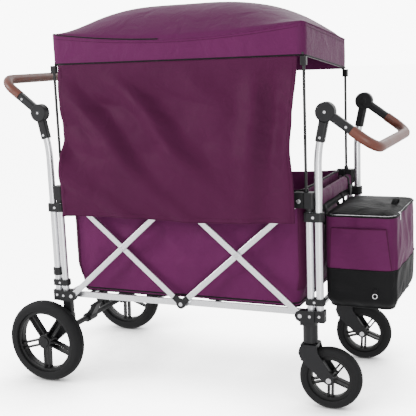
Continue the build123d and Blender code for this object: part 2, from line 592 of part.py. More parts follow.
def handle(name, lift, deg, ends, slides):
    """Everything of one handle: posts, sockets, arms, core tube, leather grip, bolts and buttons."""
    ax, az = hinge_axis(lift)
    posts = near_far(handle_tube(lift, LOW_Z - 7.5))
    sockets = near_far(hinge_socket(lift))
    if slides:
        posts += near_far(socket_bolt(lift))
        sockets += near_far(stop_collar())
    node(name + "_handle_posts", *ends(posts))
    node(name + "_hinge_sockets", *ends(sockets))
    node(name + "_handle_arms", *ends(near_far(hinge_arm(lift, deg))))
    at = Pos(ax, 0, az) * Rot(0, -deg, 0)
    core = at * handle_sweep(ARM_L - 32, CORE_R, CORE_R - 1.8)
    grip = at * handle_sweep(ARM_L + 0.5, GRIP_R, CORE_R + FIXED_FIT)
    up = (ax + BOLT_AT * math.cos(math.radians(deg)), az + BOLT_AT * math.sin(math.radians(deg)))
    hinge_bolt = cyl_y(ax, POST_Y - 4, POST_Y + HINGE_HALF + 1.5, az, BOLT_R)
    arm_bolt = rivet_dot(up[0], up[1], POST_Y + HINGE_HALF - 2, 4)
    node(name + "_handle_tube", *ends([core] + near_far(hinge_bolt) + near_far(arm_bolt)))
    node(name + "_handle_grip", *ends([grip]))
    face = POST_Y - HINGE_HALF - BUTTON_OUT
    button = cyl_y(ax, face, face + BUTTON_LEN, az, BUTTON_R)
    button = chamfer(button.faces().sort_by(Axis.Y)[0].edges(), 1.2)
    for side, shape in zip(("far", "near"), ends(near_far(button))):
        node(name + "_button_" + side, shape)


def handle_sweep(start, outer, inner):
    """Tube along the handle's U, open at both ends."""
    ring = Plane(origin=(start, -POST_Y, 0), z_dir=(1, 0, 0)) * (Circle(outer) - Circle(inner))
    return sweep(ring, path=u_path(start))


def socket_bolt(lift):
    """Bolt head low on the hinge socket."""
    ax, az = hinge_axis(lift)
    lean = math.radians(HINGE_TILT)
    return rivet_dot(ax - BOLT_AT * math.sin(lean), az - BOLT_AT * math.cos(lean), POST_Y + HINGE_HALF - 1, 4)


def stop_collar():
    """Collar clamped on the handle post between the two clamps."""
    foot = LOW_CLAMP_Z + 25
    ring = cyl_z(HANDLE_POST_X, POST_Y, foot, foot + 26, TUBE_R + 4)
    ring = chamfer(ring.edges().filter_by(GeomType.CIRCLE), 1.2)
    return ring - cyl_z(HANDLE_POST_X, POST_Y, foot - 5, foot + 30, TUBE_R + FIXED_FIT)


# ---------------------------------------------------------------- soft parts
def tub():
    """Open fabric tub hung between the four corners."""
    outer = soft_block(-TUB_HALF_X, TUB_HALF_X, -TUB_HALF_Y, TUB_HALF_Y, TUB_BOTTOM, TUB_TOP, 22)
    hollow = soft_block(-TUB_HALF_X + CLOTH, TUB_HALF_X - CLOTH, -TUB_HALF_Y + CLOTH, TUB_HALF_Y - CLOTH,
                        TUB_BOTTOM + CLOTH, TUB_TOP + 10, 18)
    node("tub_fabric", outer - hollow)


def pads():
    """Floor pad between two padded backrests that stand on the tub's floor."""
    z0 = TUB_BOTTOM + CLOTH + PAD_GAP
    x1 = TUB_HALF_X - CLOTH - PAD_GAP
    half_x = x1 - BACK_T - PAD_GAP
    half_y = TUB_HALF_Y - CLOTH - 4
    floor = soft_block(-half_x, half_x, -half_y, half_y, z0, z0 + PAD_T, 20)
    back = soft_block(x1 - BACK_T, x1, -half_y + 22, half_y - 22, z0, TUB_TOP - 12, 8)
    node("tub_pads", floor, back, mirror(back, about=Plane.YZ))


def canopy_section(x, hem_lift, seam_drop, peak, inset):
    """Cross-section of the canopy at x: two hanging sides and an arched roof."""
    y = CANOPY_HALF_Y - inset
    near0, far0 = hem_z(-y) + hem_lift, hem_z(y) + hem_lift
    near1, far1 = hem_z(-y) + VALANCE_H - seam_drop - inset, hem_z(y) + VALANCE_H - seam_drop - inset
    sides = Polyline([(x, -y, near1), (x, -y, near0), (x, y, far0), (x, y, far1)])
    roof = ThreePointArc((x, y, far1), (x, 0, peak - inset), (x, -y, near1))
    return make_face(sides + roof)


def canopy():
    """Roof and hanging edge as one thin shell, open below."""
    flat = (hem_z(0) + VALANCE_H) + 3
    def body(inset, drop):
        half = CANOPY_HALF_X - inset
        end = canopy_section(half, drop, 0, flat, inset)
        mid = canopy_section(0, drop, SEAM_DIP, PEAK_Z, inset)
        other = canopy_section(-half, drop, 0, flat, inset)
        return loft([other, mid, end])
    node("canopy_cover", body(0, 0) - body(CLOTH * 0.75, -20))


def curtain():
    """Side curtain hanging on the near side, outside the scissor bars."""
    top = NEAR_HEM_Z - 3
    y_top, y_low = -CANOPY_HALF_Y - 2, -(BAR_OUT_Y + BAR_T + 16)
    outline = [(y_top, top), (y_top - CLOTH, top), (y_low - CLOTH, 690), (y_low - CLOTH, CURTAIN_BOTTOM),
               (y_low, CURTAIN_BOTTOM), (y_low, 690)]
    face = make_face(Polyline([(-CURTAIN_HALF_X, y, z) for y, z in outline], close=True))
    node("side_curtain", extrude(face, amount=2 * CURTAIN_HALF_X, dir=(1, 0, 0)))


def bag_body():
    """Outer form of the storage bag."""
    c = BAG_CHAMFER
    side = [(BAG_BACK, BAG_TOP), (BAG_BACK, BAG_BOTTOM + c), (BAG_BACK + c, BAG_BOTTOM),
            (BAG_FRONT - c, BAG_BOTTOM), (BAG_FRONT, BAG_BOTTOM + c * 0.8), (BAG_FRONT, BAG_TOP)]
    body = plate_xz(side, -BAG_HALF_Y, BAG_HALF_Y)
    return fillet(body.edges().filter_by(Axis.Z), 28)


def bag_strap(y):
    """Webbing loop round the cross tube, down to the bag's back."""
    loop = cyl_y(POST_X, y - 15, y + 15, CROSS_TUBE_Z, CROSS_R + 3.5)
    loop += block(POST_X, BAG_BACK, y - 15, y + 15, BAG_TOP - 88, BAG_TOP - 3)
    return loop - cyl_y(POST_X, y - 20, y + 20, CROSS_TUBE_Z, CROSS_R + 0.2)


def bag():
    """Open bag in two colours, with its lid and the straps that carry it."""
    inner = soft_block(BAG_BACK + CLOTH, BAG_FRONT - CLOTH, -BAG_HALF_Y + CLOTH, BAG_HALF_Y - CLOTH,
                       BAG_BOTTOM + BAG_CHAMFER, BAG_TOP + 5, 24)
    shell = bag_body() - inner
    big = 1000.0
    node("bag_body", shell & block(0, big, -big, big, BAG_SPLIT, big))
    lid = soft_block(BAG_BACK + LID_BACK, BAG_FRONT - 6, -BAG_HALF_Y + 5, BAG_HALF_Y - 5,
                     BAG_TOP + LID_GAP, BAG_TOP + LID_GAP + LID_T, 24)
    node("bag_lid", lid)
    node("bag_base", shell & block(0, big, -big, big, 0, BAG_SPLIT), bag_strap(-110.0), bag_strap(110.0))


# ---------------------------------------------------------------- build
def build():
    scissor()
    end_frame("front", same, False)
    end_frame("rear", at_rear, True)
    end_slider("front", same)
    end_slider("rear", at_rear)
    floor_half("front", 1)
    floor_half("rear", -1)
    rear_wheels()
    brake_pedal()
    node("caster_housings", *near_far(caster_housing()))
    caster("caster_far", 1)
    caster("caster_near", -1)
    handle("front", 0.0, FRONT_ARM_DEG, same, False)
    handle("rear", REAR_LIFT, REAR_ARM_DEG, at_rear, True)
    tub()
    pads()
    canopy()
    curtain()
    bag()


build()
os.makedirs("parts", exist_ok=True)
for part_name, shape in NODES.items():
    export_step(shape, "parts/" + part_name + ".step")
print(len(NODES), "nodes")
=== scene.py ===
import json
import math

import bmesh
import bpy
from bpy.props import FloatProperty, FloatVectorProperty, PointerProperty
from mathutils import Matrix, Vector, noise


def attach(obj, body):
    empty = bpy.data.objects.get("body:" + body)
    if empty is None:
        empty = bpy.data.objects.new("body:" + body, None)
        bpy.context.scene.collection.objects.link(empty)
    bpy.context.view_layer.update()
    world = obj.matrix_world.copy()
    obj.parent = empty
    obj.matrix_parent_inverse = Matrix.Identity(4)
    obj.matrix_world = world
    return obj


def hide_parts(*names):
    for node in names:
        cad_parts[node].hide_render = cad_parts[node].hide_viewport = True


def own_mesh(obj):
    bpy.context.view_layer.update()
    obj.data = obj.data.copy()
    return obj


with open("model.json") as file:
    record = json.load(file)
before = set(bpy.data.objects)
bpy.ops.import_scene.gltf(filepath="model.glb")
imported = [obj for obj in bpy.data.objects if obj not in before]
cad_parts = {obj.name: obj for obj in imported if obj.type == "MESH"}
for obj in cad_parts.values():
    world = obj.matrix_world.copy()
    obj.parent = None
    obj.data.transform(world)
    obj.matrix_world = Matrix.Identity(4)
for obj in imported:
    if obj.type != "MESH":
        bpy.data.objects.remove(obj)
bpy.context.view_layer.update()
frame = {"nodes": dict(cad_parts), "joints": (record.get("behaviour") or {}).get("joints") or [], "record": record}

# Folding stroller wagon. All lengths are metres; +X is the front end, -Y the near side, +Z up.
bl_info = {
    "name": "Stroller wagon builder",
    "version": (1, 0, 0),
    "blender": (4, 5, 0),
    "location": "View3D > Sidebar > Wagon",
    "description": "Builds the soft goods, trims and finishes of a folding stroller wagon round its frame",
    "category": "Add Mesh",
}


def linear(code):
    """sRGB hex colour to linear RGB."""
    parts = [int(code[i:i + 2], 16) / 255 for i in (1, 3, 5)]
    return tuple(p / 12.92 if p <= 0.04045 else ((p + 0.055) / 1.055) ** 2.4 for p in parts)


def ease(x):
    """Smooth 0 to 1."""
    x = min(1.0, max(0.0, x))
    return x * x * (3 - 2 * x)


def ripple(x, y, z, seed):
    """Soft random height from -1 to 1, the same in every run."""
    return noise.noise(Vector((x, y, z + 17.3 * seed)))


def wrinkle(x, y, z, seed):
    """Random height with sharp ridges, like the wrinkles of slack cloth."""
    return 0.5 - 2 * abs(ripple(x, y, z, seed))


def shaded(colour, k):
    return (colour[0] * k, colour[1] * k, colour[2] * k, 1.0)


# ------------------------------------------------------------------ sizes and colours
class WagonSizes(bpy.types.PropertyGroup):
    canopy_half_x: FloatProperty(name="Canopy half length", description="Middle of the roof to its end",
                                 default=0.425, unit="LENGTH")
    canopy_half_y: FloatProperty(name="Canopy half width", description="Middle of the roof to its side",
                                 default=0.251, unit="LENGTH")
    near_hem: FloatProperty(name="Near hem height", description="Lower edge of the canopy on the near side",
                            default=1.067, unit="LENGTH")
    tilt: FloatProperty(name="Canopy tilt", description="How much lower the far hem sits",
                        default=0.052, unit="LENGTH")
    valance: FloatProperty(name="Valance height", description="Roof seam to hem", default=0.102,
                           unit="LENGTH")
    seam_dip: FloatProperty(name="Seam dip", description="Fall of the roof seam at mid-length",
                            default=0.034, unit="LENGTH")
    peak: FloatProperty(name="Roof peak", description="Height of the roof's crown", default=1.247,
                        unit="LENGTH")
    curtain_half_x: FloatProperty(name="Curtain half length", description="Middle of the curtain to its edge",
                                  default=0.402, unit="LENGTH")
    curtain_bottom: FloatProperty(name="Curtain hem height", description="Lower edge of the side curtain",
                                  default=0.576, unit="LENGTH")
    tub_half_x: FloatProperty(name="Tub half length", description="Middle of the tub to its end",
                              default=0.402, unit="LENGTH")
    tub_half_y: FloatProperty(name="Tub half width", description="Middle of the tub to its side",
                              default=0.219, unit="LENGTH")
    tub_bottom: FloatProperty(name="Tub bottom", description="Underside of the tub", default=0.312,
                              unit="LENGTH")
    tub_top: FloatProperty(name="Tub top", description="Rim of the tub", default=0.673, unit="LENGTH")
    bag_split: FloatProperty(name="Bag split", description="Height where the bag's two colours meet",
                             default=0.425, unit="LENGTH")


class WagonColours(bpy.types.PropertyGroup):
    plum: FloatVectorProperty(name="Plum cloth", description="Main polyester", subtype="COLOR",
                              default=linear("#5f234f"))
    plum_dark: FloatVectorProperty(name="Curtain cloth", description="Side curtain's polyester",
                                   subtype="COLOR", default=linear("#4c1b3b"))
    black: FloatVectorProperty(name="Black cloth", description="Trim and bag base", subtype="COLOR",
                               default=linear("#1a1a1b"))
    leather: FloatVectorProperty(name="Leather", description="Handle grips", subtype="COLOR",
                                 default=linear("#6b2d16"))
    aluminium: FloatVectorProperty(name="Aluminium", description="Tubes and bars", subtype="COLOR",
                                   default=linear("#dcdde0"))
    plastic: FloatVectorProperty(name="Black nylon", description="Brackets and hinges", subtype="COLOR",
                                 default=linear("#141416"))
    rubber: FloatVectorProperty(name="Tyre foam", description="Tyres", subtype="COLOR",
                                default=linear("#141415"))
    floor: FloatVectorProperty(name="Studio floor", description="Pale floor", subtype="COLOR",
                               default=linear("#f4f4f4"))


# ------------------------------------------------------------------ materials
def add(tree, kind, inputs=None, **settings):
    """Adds a node with its settings; inputs holds values or sockets to link."""
    made = tree.nodes.new(kind)
    for name, value in settings.items():
        setattr(made, name, value)
    for name, value in (inputs or {}).items():
        if isinstance(value, bpy.types.NodeSocket):
            tree.links.new(value, made.inputs[name])
        else:
            made.inputs[name].default_value = value
    return made


def blank(name):
    """Empty material with its output node; returns (material, node tree, output)."""
    mat = bpy.data.materials.get(name) or bpy.data.materials.new(name)
    mat.use_nodes = True
    mat.node_tree.nodes.clear()
    return mat, mat.node_tree, mat.node_tree.nodes.new("ShaderNodeOutputMaterial")


def woven(name, colour, thread_mm, sheen, rough, crease, shine=0.06):
    """Woven polyester: fine crossing threads, their raised crossings painted lighter as a highlight, a soft sheen
    at grazing angles and slack creases.
    """
    mat, tree, out = blank(name)
    place = add(tree, "ShaderNodeTexCoord").outputs["Object"]
    skew = (math.radians(27), 0, math.radians(-35))
    along = add(tree, "ShaderNodeMapping", {"Vector": place, "Rotation": skew}).outputs["Vector"]
    scale = 2 * math.pi / (20 * thread_mm / 1000)       # a wave texture's bands repeat every 2 pi / 20
    warp = add(tree, "ShaderNodeTexWave", {"Vector": along, "Scale": scale, "Distortion": 0.4},
               bands_direction="X").outputs["Fac"]
    weft = add(tree, "ShaderNodeTexWave", {"Vector": along, "Scale": scale, "Distortion": 0.4},
               bands_direction="Z").outputs["Fac"]
    threads = add(tree, "ShaderNodeMath", {0: warp, 1: weft}, operation="MULTIPLY").outputs["Value"]
    slack = add(tree, "ShaderNodeTexNoise", {"Vector": place, "Scale": 14.0, "Detail": 3.0,
                                             "Distortion": 0.8}).outputs["Fac"]
    fade = add(tree, "ShaderNodeTexNoise", {"Vector": place, "Scale": 5.0, "Detail": 4.0}).outputs["Fac"]
    base = add(tree, "ShaderNodeMixRGB", {"Fac": fade, "Color1": shaded(colour, 0.8),
                                          "Color2": shaded(colour, 1.22)}).outputs["Color"]
    # Painted highlight: where warp and weft cross and rise, the colour is mixed lighter.
    base = add(tree, "ShaderNodeMixRGB", {"Fac": threads, "Color1": base, "Color2": shaded(colour, 1.35)}
               ).outputs["Color"]
    folds = add(tree, "ShaderNodeBump", {"Height": slack, "Strength": crease, "Distance": 0.012}
                ).outputs["Normal"]
    grain = add(tree, "ShaderNodeBump", {"Height": threads, "Strength": 0.35, "Distance": 0.0006,
                                         "Normal": folds}).outputs["Normal"]
    shader = add(tree, "ShaderNodeBsdfPrincipled", {
        "Base Color": base, "Roughness": rough, "Normal": grain, "Sheen Weight": sheen,
        "Sheen Roughness": 0.35, "Specular IOR Level": shine})
    tree.links.new(shader.outputs["BSDF"], out.inputs["Surface"])
    return mat


def anodised_aluminium(colour):
    """Extruded tube, satin anodised: bright metal with faint draw lines along its length."""
    mat, tree, out = blank("anodised_aluminium")
    place = add(tree, "ShaderNodeTexCoord").outputs["Object"]
    drawn = add(tree, "ShaderNodeMapping", {"Vector": place, "Scale": (900, 900, 9)}).outputs["Vector"]
    lines = add(tree, "ShaderNodeTexNoise", {"Vector": drawn, "Scale": 1.0, "Detail": 2.0}).outputs["Fac"]
    dull = add(tree, "ShaderNodeMapRange", {"Value": lines, "To Min": 0.2, "To Max": 0.36}).outputs["Result"]
    wear = add(tree, "ShaderNodeTexNoise", {"Vector": place, "Scale": 30.0, "Detail": 5.0}).outputs["Fac"]
    base = add(tree, "ShaderNodeMixRGB", {"Fac": wear, "Color1": shaded(colour, 0.9),
                                          "Color2": shaded(colour, 1.06)}).outputs["Color"]
    tiny = add(tree, "ShaderNodeBump", {"Height": lines, "Strength": 0.05, "Distance": 0.0003}
               ).outputs["Normal"]
    shader = add(tree, "ShaderNodeBsdfPrincipled", {"Base Color": base, "Metallic": 0.9, "Roughness": dull,
                                                    "Normal": tiny})
    tree.links.new(shader.outputs["BSDF"], out.inputs["Surface"])
    return mat


def grained(name, colour, grain_mm, depth, rough, coat):
    """Moulded nylon, foam rubber or turned steel: a fine even grain, paler where hands and shoes rub it."""
    mat, tree, out = blank(name)
    place = add(tree, "ShaderNodeTexCoord").outputs["Object"]
    spark = add(tree, "ShaderNodeTexNoise", {"Vector": place, "Scale": 1000 / grain_mm, "Detail": 2.0}
                ).outputs["Fac"]
    rub = add(tree, "ShaderNodeTexNoise", {"Vector": place, "Scale": 22.0, "Detail": 5.0}).outputs["Fac"]
    base = add(tree, "ShaderNodeMixRGB", {"Fac": rub, "Color1": shaded(colour, 0.75),
                                          "Color2": shaded(colour, 1.35)}).outputs["Color"]
    dull = add(tree, "ShaderNodeMapRange", {"Value": rub, "To Min": rough - 0.08, "To Max": rough + 0.1}
               ).outputs["Result"]
    skin = add(tree, "ShaderNodeBump", {"Height": spark, "Strength": 0.4, "Distance": depth}
               ).outputs["Normal"]
    shader = add(tree, "ShaderNodeBsdfPrincipled", {"Base Color": base, "Roughness": dull, "Normal": skin,
                                                    "Specular IOR Level": 0.22, "Coat Weight": coat,
                                                    "Coat Roughness": 0.3})
    tree.links.new(shader.outputs["BSDF"], out.inputs["Surface"])
    return mat


def nickelled_steel():
    """Plated rivets and axles: bright, with a soft haze."""
    mat, tree, out = blank("nickelled_steel")
    place = add(tree, "ShaderNodeTexCoord").outputs["Object"]
    haze = add(tree, "ShaderNodeTexNoise", {"Vector": place, "Scale": 90.0, "Detail": 4.0}).outputs["Fac"]
    dull = add(tree, "ShaderNodeMapRange", {"Value": haze, "To Min": 0.12, "To Max": 0.3}).outputs["Result"]
    base = add(tree, "ShaderNodeMixRGB", {"Fac": haze, "Color1": (*linear("#b4b4b8"), 1),
                                          "Color2": (*linear("#e2e2e4"), 1)}).outputs["Color"]
    shader = add(tree, "ShaderNodeBsdfPrincipled", {"Base Color": base, "Metallic": 1.0, "Roughness": dull})
    tree.links.new(shader.outputs["BSDF"], out.inputs["Surface"])
    return mat


def waxed_leather(name, colour):
    """Full-grain leather wrap: pebbled cells with painted shade darkening the creases between them, slightly
    polished by hands.
    """
    mat, tree, out = blank(name)
    place = add(tree, "ShaderNodeTexCoord").outputs["Object"]
    pebble = add(tree, "ShaderNodeTexVoronoi", {"Vector": place, "Scale": 1000 / 2.2}).outputs["Distance"]
    patch = add(tree, "ShaderNodeTexNoise", {"Vector": place, "Scale": 28.0, "Detail": 6.0}).outputs["Fac"]
    base = add(tree, "ShaderNodeMixRGB", {"Fac": patch, "Color1": shaded(colour, 0.5),
                                          "Color2": shaded(colour, 1.6)}).outputs["Color"]
    # Painted shade: the colour darkens towards the edges of the pebble cells, in the creases between them.
    base = add(tree, "ShaderNodeMixRGB", {"Fac": pebble, "Color1": base, "Color2": shaded(colour, 0.55)}
               ).outputs["Color"]
    dull = add(tree, "ShaderNodeMapRange", {"Value": patch, "To Min": 0.34, "To Max": 0.56}).outputs["Result"]
    skin = add(tree, "ShaderNodeBump", {"Height": pebble, "Strength": 0.35, "Distance": 0.0008}
               ).outputs["Normal"]
    shader = add(tree, "ShaderNodeBsdfPrincipled", {"Base Color": base, "Roughness": dull, "Normal": skin,
                                                    "Coat Weight": 0.12, "Coat Roughness": 0.35})
    tree.links.new(shader.outputs["BSDF"], out.inputs["Surface"])
    return mat


def finishes():
    """Every material by its short name, made once."""
    c = bpy.context.scene.wagon_colours
    return {
        "plum": woven("plum_polyester", c.plum, 1.8, 0.05, 0.46, 0.4),
        "curtain": woven("curtain_polyester", c.plum_dark, 1.8, 0.04, 0.52, 0.35),
        "black": woven("black_polyester", c.black, 1.6, 0.03, 0.52, 0.35),
        "lid": woven("lid_polyester", shaded(c.black, 0.7)[:3], 1.6, 0.0, 0.4, 0.5, 0.02),
        "webbing": woven("polypropylene_webbing", shaded(c.black, 1.3)[:3], 2.4, 0.05, 0.62, 0.05),
        "aluminium": anodised_aluminium(c.aluminium),
        "steel": nickelled_steel(),
        "plastic": grained("moulded_nylon", c.plastic, 1.4, 0.0004, 0.45, 0.08),
        "black_paint": grained("black_powder_coat", linear("#0c0c0d"), 1.0, 0.0002, 0.35, 0.15),
        "rim": grained("moulded_wheel_nylon", linear("#0b0b0c"), 1.6, 0.0003, 0.42, 0.06),
        "rubber": grained("eva_tyre_foam", c.rubber, 2.2, 0.0007, 0.74, 0.0),
        "leather": waxed_leather("brown_leather", c.leather),
        "lace": waxed_leather("lacing_leather", shaded(c.leather, 0.45)[:3]),
        "board": grained("hardboard_cover", linear("#0e0e10"), 3.0, 0.0004, 0.7, 0.0),
    }


def floor_finish():
    """Painted studio floor: pale, matt and faintly uneven. Camera rays see it glow, with a painted contact shadow
    where ambient occlusion darkens the glow near the wagon; glossy rays see a fainter even glow.
    """
    mat, tree, out = blank("studio_paint")
    place = add(tree, "ShaderNodeTexCoord").outputs["Object"]
    patch = add(tree, "ShaderNodeTexNoise", {"Vector": place, "Scale": 1.5, "Detail": 3.0}).outputs["Fac"]
    dull = add(tree, "ShaderNodeMapRange", {"Value": patch, "To Min": 0.3, "To Max": 0.42}).outputs["Result"]
    shader = add(tree, "ShaderNodeBsdfPrincipled", {
        "Base Color": (*bpy.context.scene.wagon_colours.floor, 1.0), "Roughness": dull,
        "Specular IOR Level": 0.5})
    path = add(tree, "ShaderNodeLightPath").outputs
    # Painted contact shadow: ambient occlusion, cubed, darkens the floor's glow close to the wagon.
    near = add(tree, "ShaderNodeAmbientOcclusion", {"Distance": 0.35}, samples=8).outputs["AO"]
    near = add(tree, "ShaderNodeMath", {0: near, 1: 3.0}, operation="POWER").outputs["Value"]
    glow_with_painted_shadow = add(tree, "ShaderNodeMath", {0: near, 1: 7.4}, operation="MULTIPLY").outputs["Value"]
    seen = add(tree, "ShaderNodeMath", {0: path["Is Camera Ray"], 1: glow_with_painted_shadow}, operation="MULTIPLY"
               ).outputs["Value"]
    lift = add(tree, "ShaderNodeMath", {0: path["Is Glossy Ray"], 1: 0.9, 2: seen}, operation="MULTIPLY_ADD"
               ).outputs["Value"]
    glow = add(tree, "ShaderNodeEmission", {"Strength": lift}).outputs["Emission"]
    both = add(tree, "ShaderNodeAddShader", {0: shader.outputs["BSDF"], 1: glow}).outputs["Shader"]
    tree.links.new(both, out.inputs["Surface"])
    return mat


# ------------------------------------------------------------------ making pieces
def piece(name, bm, mats, body, smooth=True):
    """Turns a bmesh into a named object that rides on a body; several materials go by face index."""
    mesh = bpy.data.meshes.new(name)
    bm.to_mesh(mesh)
    bm.free()
    return dress(name, mesh, mats, body, smooth)


def dress(name, mesh, mats, body, smooth=True):
    obj = bpy.data.objects.new(name, mesh)
    bpy.context.scene.collection.objects.link(obj)
    mesh.materials.clear()
    for mat in mats:
        mesh.materials.append(mat)
    for face in mesh.polygons:
        face.use_smooth = smooth
    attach(obj, body)
    return obj


def cloth_grid(across, down, place, zone=None, flip=False):
    """Grid of cloth whose point (u, v), each 0 to 1, goes to place(u, v); zone(u, v) picks a material."""
    bm = bmesh.new()
    bmesh.ops.create_grid(bm, x_segments=across, y_segments=down, size=0.5)
    if zone:
        for face in bm.faces:
            mid = face.calc_center_median()
            face.material_index = zone(mid.x + 0.5, mid.y + 0.5)
    for vert in bm.verts:
        vert.co = place(vert.co.x + 0.5, vert.co.y + 0.5)
    bmesh.ops.remove_doubles(bm, verts=bm.verts, dist=1e-5)
    if flip:
        bmesh.ops.reverse_faces(bm, faces=bm.faces)
    return bm


def thicken(obj, thickness, offset=-1.0):
    mod = obj.modifiers.new("wall", "SOLIDIFY")
    mod.thickness = thickness
    mod.offset = offset
    mod.use_even_offset = False
    return obj


def round_box_point(u, hx, hy, r):
    """(x, y) at share u of the way round a rounded rectangle, starting at the middle of its +X side."""
    a, b, q = 2 * (hx - r), 2 * (hy - r), math.pi * r / 2
    runs = [(b / 2, 0), (q, 1), (a, 0), (q, 1), (b, 0), (q, 1), (a, 0), (q, 1), (b / 2, 0)]
    left = (u % 1.0) * (2 * a + 2 * b + 4 * q)
    x, y, heading = hx, 0.0, math.pi / 2
    for length, turns in runs:
        step = min(left, length)
        if turns:
            angle = step / r
            cx, cy = x - r * math.sin(heading), y + r * math.cos(heading)
            x, y = cx + r * math.sin(heading + angle), cy - r * math.cos(heading + angle)
            heading += angle
        else:
            x, y = x + step * math.cos(heading), y + step * math.sin(heading)
        left -= step
        if left <= 1e-12:
            break
    return x, y


def tube_mesh(points, radius, cyclic=False, smooth_line=True, sides=3):
    """Mesh of a round cord through the points."""
    curve = bpy.data.curves.new("line", "CURVE")
    curve.dimensions = "3D"
    curve.bevel_depth = radius
    curve.bevel_resolution = sides
    curve.use_fill_caps = not cyclic
    spline = curve.splines.new("NURBS" if smooth_line else "POLY")
    spline.points.add(len(points) - 1)
    for at, point in zip(spline.points, points):
        at.co = (*point, 1.0)
    spline.use_cyclic_u = cyclic
    if smooth_line:
        spline.order_u = 3
        spline.use_endpoint_u = not cyclic
        spline.resolution_u = 3
    holder = bpy.data.objects.new("line", curve)
    mesh = bpy.data.meshes.new_from_object(holder)
    bpy.data.objects.remove(holder)
    bpy.data.curves.remove(curve)
    return mesh


def strap(points, width, thickness, side):
    """Flat webbing along points; side is the direction of its width."""
    bm = bmesh.new()
    side = Vector(side).normalized() * width / 2
    first = [bm.verts.new(Vector(points[0]) - side), bm.verts.new(Vector(points[0]) + side)]
    edge = bm.edges.new(first)
    for a, b in zip(points, points[1:]):
        made = bmesh.ops.extrude_edge_only(bm, edges=[edge])["geom"]
        fresh = [g for g in made if isinstance(g, bmesh.types.BMVert)]
        bmesh.ops.translate(bm, vec=Vector(b) - Vector(a), verts=fresh)
        edge = next(g for g in made if isinstance(g, bmesh.types.BMEdge)
                    and all(v in fresh for v in g.verts))
    bmesh.ops.recalc_face_normals(bm, faces=bm.faces)
    bmesh.ops.solidify(bm, geom=bm.faces[:], thickness=thickness)
    return bm


def eased_box(bm, size, matrix, r):
    """Box with rounded edges, added to bm."""
    made = bmesh.ops.create_cube(bm, size=1.0)["verts"]
    bmesh.ops.scale(bm, vec=size, verts=made)
    edges = list({e for v in made for e in v.link_edges})
    out = bmesh.ops.bevel(bm, geom=edges, offset=r, offset_type="OFFSET", segments=2, profile=0.5,
                          affect="EDGES", material=-1)
    bmesh.ops.transform(bm, matrix=matrix, verts=list({v for f in out["faces"] for v in f.verts}
                                                      | {v for v in made if v.is_valid}))


def folds_with_frame(obj):
    """Gives the piece a mesh of its own."""
    bpy.context.view_layer.update()
    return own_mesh(obj)


def bake_modifiers(obj):
    """Applies the modifiers to the mesh."""
    bpy.context.view_layer.update()
    mesh = bpy.data.meshes.new_from_object(obj.evaluated_get(bpy.context.evaluated_depsgraph_get()))
    obj.modifiers.clear()
    obj.data = mesh
    return obj


# ------------------------------------------------------------------ stage
# lamps: name, place, diameter, watts
LAMPS = (("key", (-3.2, -2.2, 2.1), 1.4, 115),
         ("fill", (2.0, -3.4, 0.9), 1.8, 62),
         ("rim", (0.5, 3.2, 3.0), 2.4, 25))
CAMERA_AT = (1.1163, -2.5987, 1.0736)
CAMERA_TURN = (-23.27515578, 10.18877161, -2.30704421)      # yaw, pitch down and roll, in degrees
CAMERA_LENS = 72.71


class WAGON_OT_stage(bpy.types.Operator):
    """Pale floor, soft lights and the camera"""
    bl_idname = "wagon.stage"
    bl_label = "Stage"

    def execute(self, context):
        bm = bmesh.new()
        bmesh.ops.create_circle(bm, cap_ends=True, segments=96, radius=60.0)
        mesh = bpy.data.meshes.new("studio_floor")
        bm.to_mesh(mesh)
        bm.free()
        floor = bpy.data.objects.new("studio_floor", mesh)
        context.scene.collection.objects.link(floor)
        mesh.materials.append(floor_finish())
        world = bpy.data.worlds.new("studio")
        context.scene.world = world
        world.use_nodes = True
        sky = world.node_tree.nodes["Background"]
        sky.inputs["Color"].default_value = (1, 1, 1, 1)
        sky.inputs["Strength"].default_value = 0.36
        paper = add(world.node_tree, "ShaderNodeBackground", {"Color": (1, 1, 1, 1), "Strength": 9.0})
        cards = add(world.node_tree, "ShaderNodeBackground", {"Color": (1, 1, 1, 1), "Strength": 2.0})
        path = add(world.node_tree, "ShaderNodeLightPath").outputs
        room = add(world.node_tree, "ShaderNodeMixShader", {
            0: path["Is Glossy Ray"], 1: sky.outputs["Background"], 2: cards.outputs["Background"]})
        both = add(world.node_tree, "ShaderNodeMixShader", {
            0: path["Is Camera Ray"], 1: room.outputs["Shader"], 2: paper.outputs["Background"]})
        surface = world.node_tree.nodes["World Output"].inputs["Surface"]
        world.node_tree.links.new(both.outputs["Shader"], surface)
        for name, at, size, power in LAMPS:
            lamp = bpy.data.lights.new(name, "AREA")
            lamp.shape = "DISK"
            lamp.size = size
            lamp.energy = power
            light = bpy.data.objects.new(name, lamp)
            light.location = at
            light.rotation_euler = (Vector((0, 0, 0.6)) - Vector(at)).to_track_quat("-Z", "Y").to_euler()
            context.scene.collection.objects.link(light)
        self.camera(context)
        return {"FINISHED"}

    def camera(self, context):
        yaw, pitch, roll = (math.radians(a) for a in CAMERA_TURN)
        ahead = Vector((math.sin(yaw) * math.cos(pitch), math.cos(yaw) * math.cos(pitch), -math.sin(pitch)))
        level = Vector((math.cos(yaw), -math.sin(yaw), 0))
        over = level.cross(ahead)
        right = math.cos(roll) * level + math.sin(roll) * over
        up = -math.sin(roll) * level + math.cos(roll) * over
        turn = Matrix((right, up, -ahead)).transposed()
        data = bpy.data.cameras.new("camera")
        data.lens = CAMERA_LENS
        data.sensor_width = 36.0
        data.clip_end = 200
        camera = bpy.data.objects.new("camera", data)
        camera.matrix_world = Matrix.Translation(CAMERA_AT) @ turn.to_4x4()
        context.scene.collection.objects.link(camera)
        context.scene.camera = camera


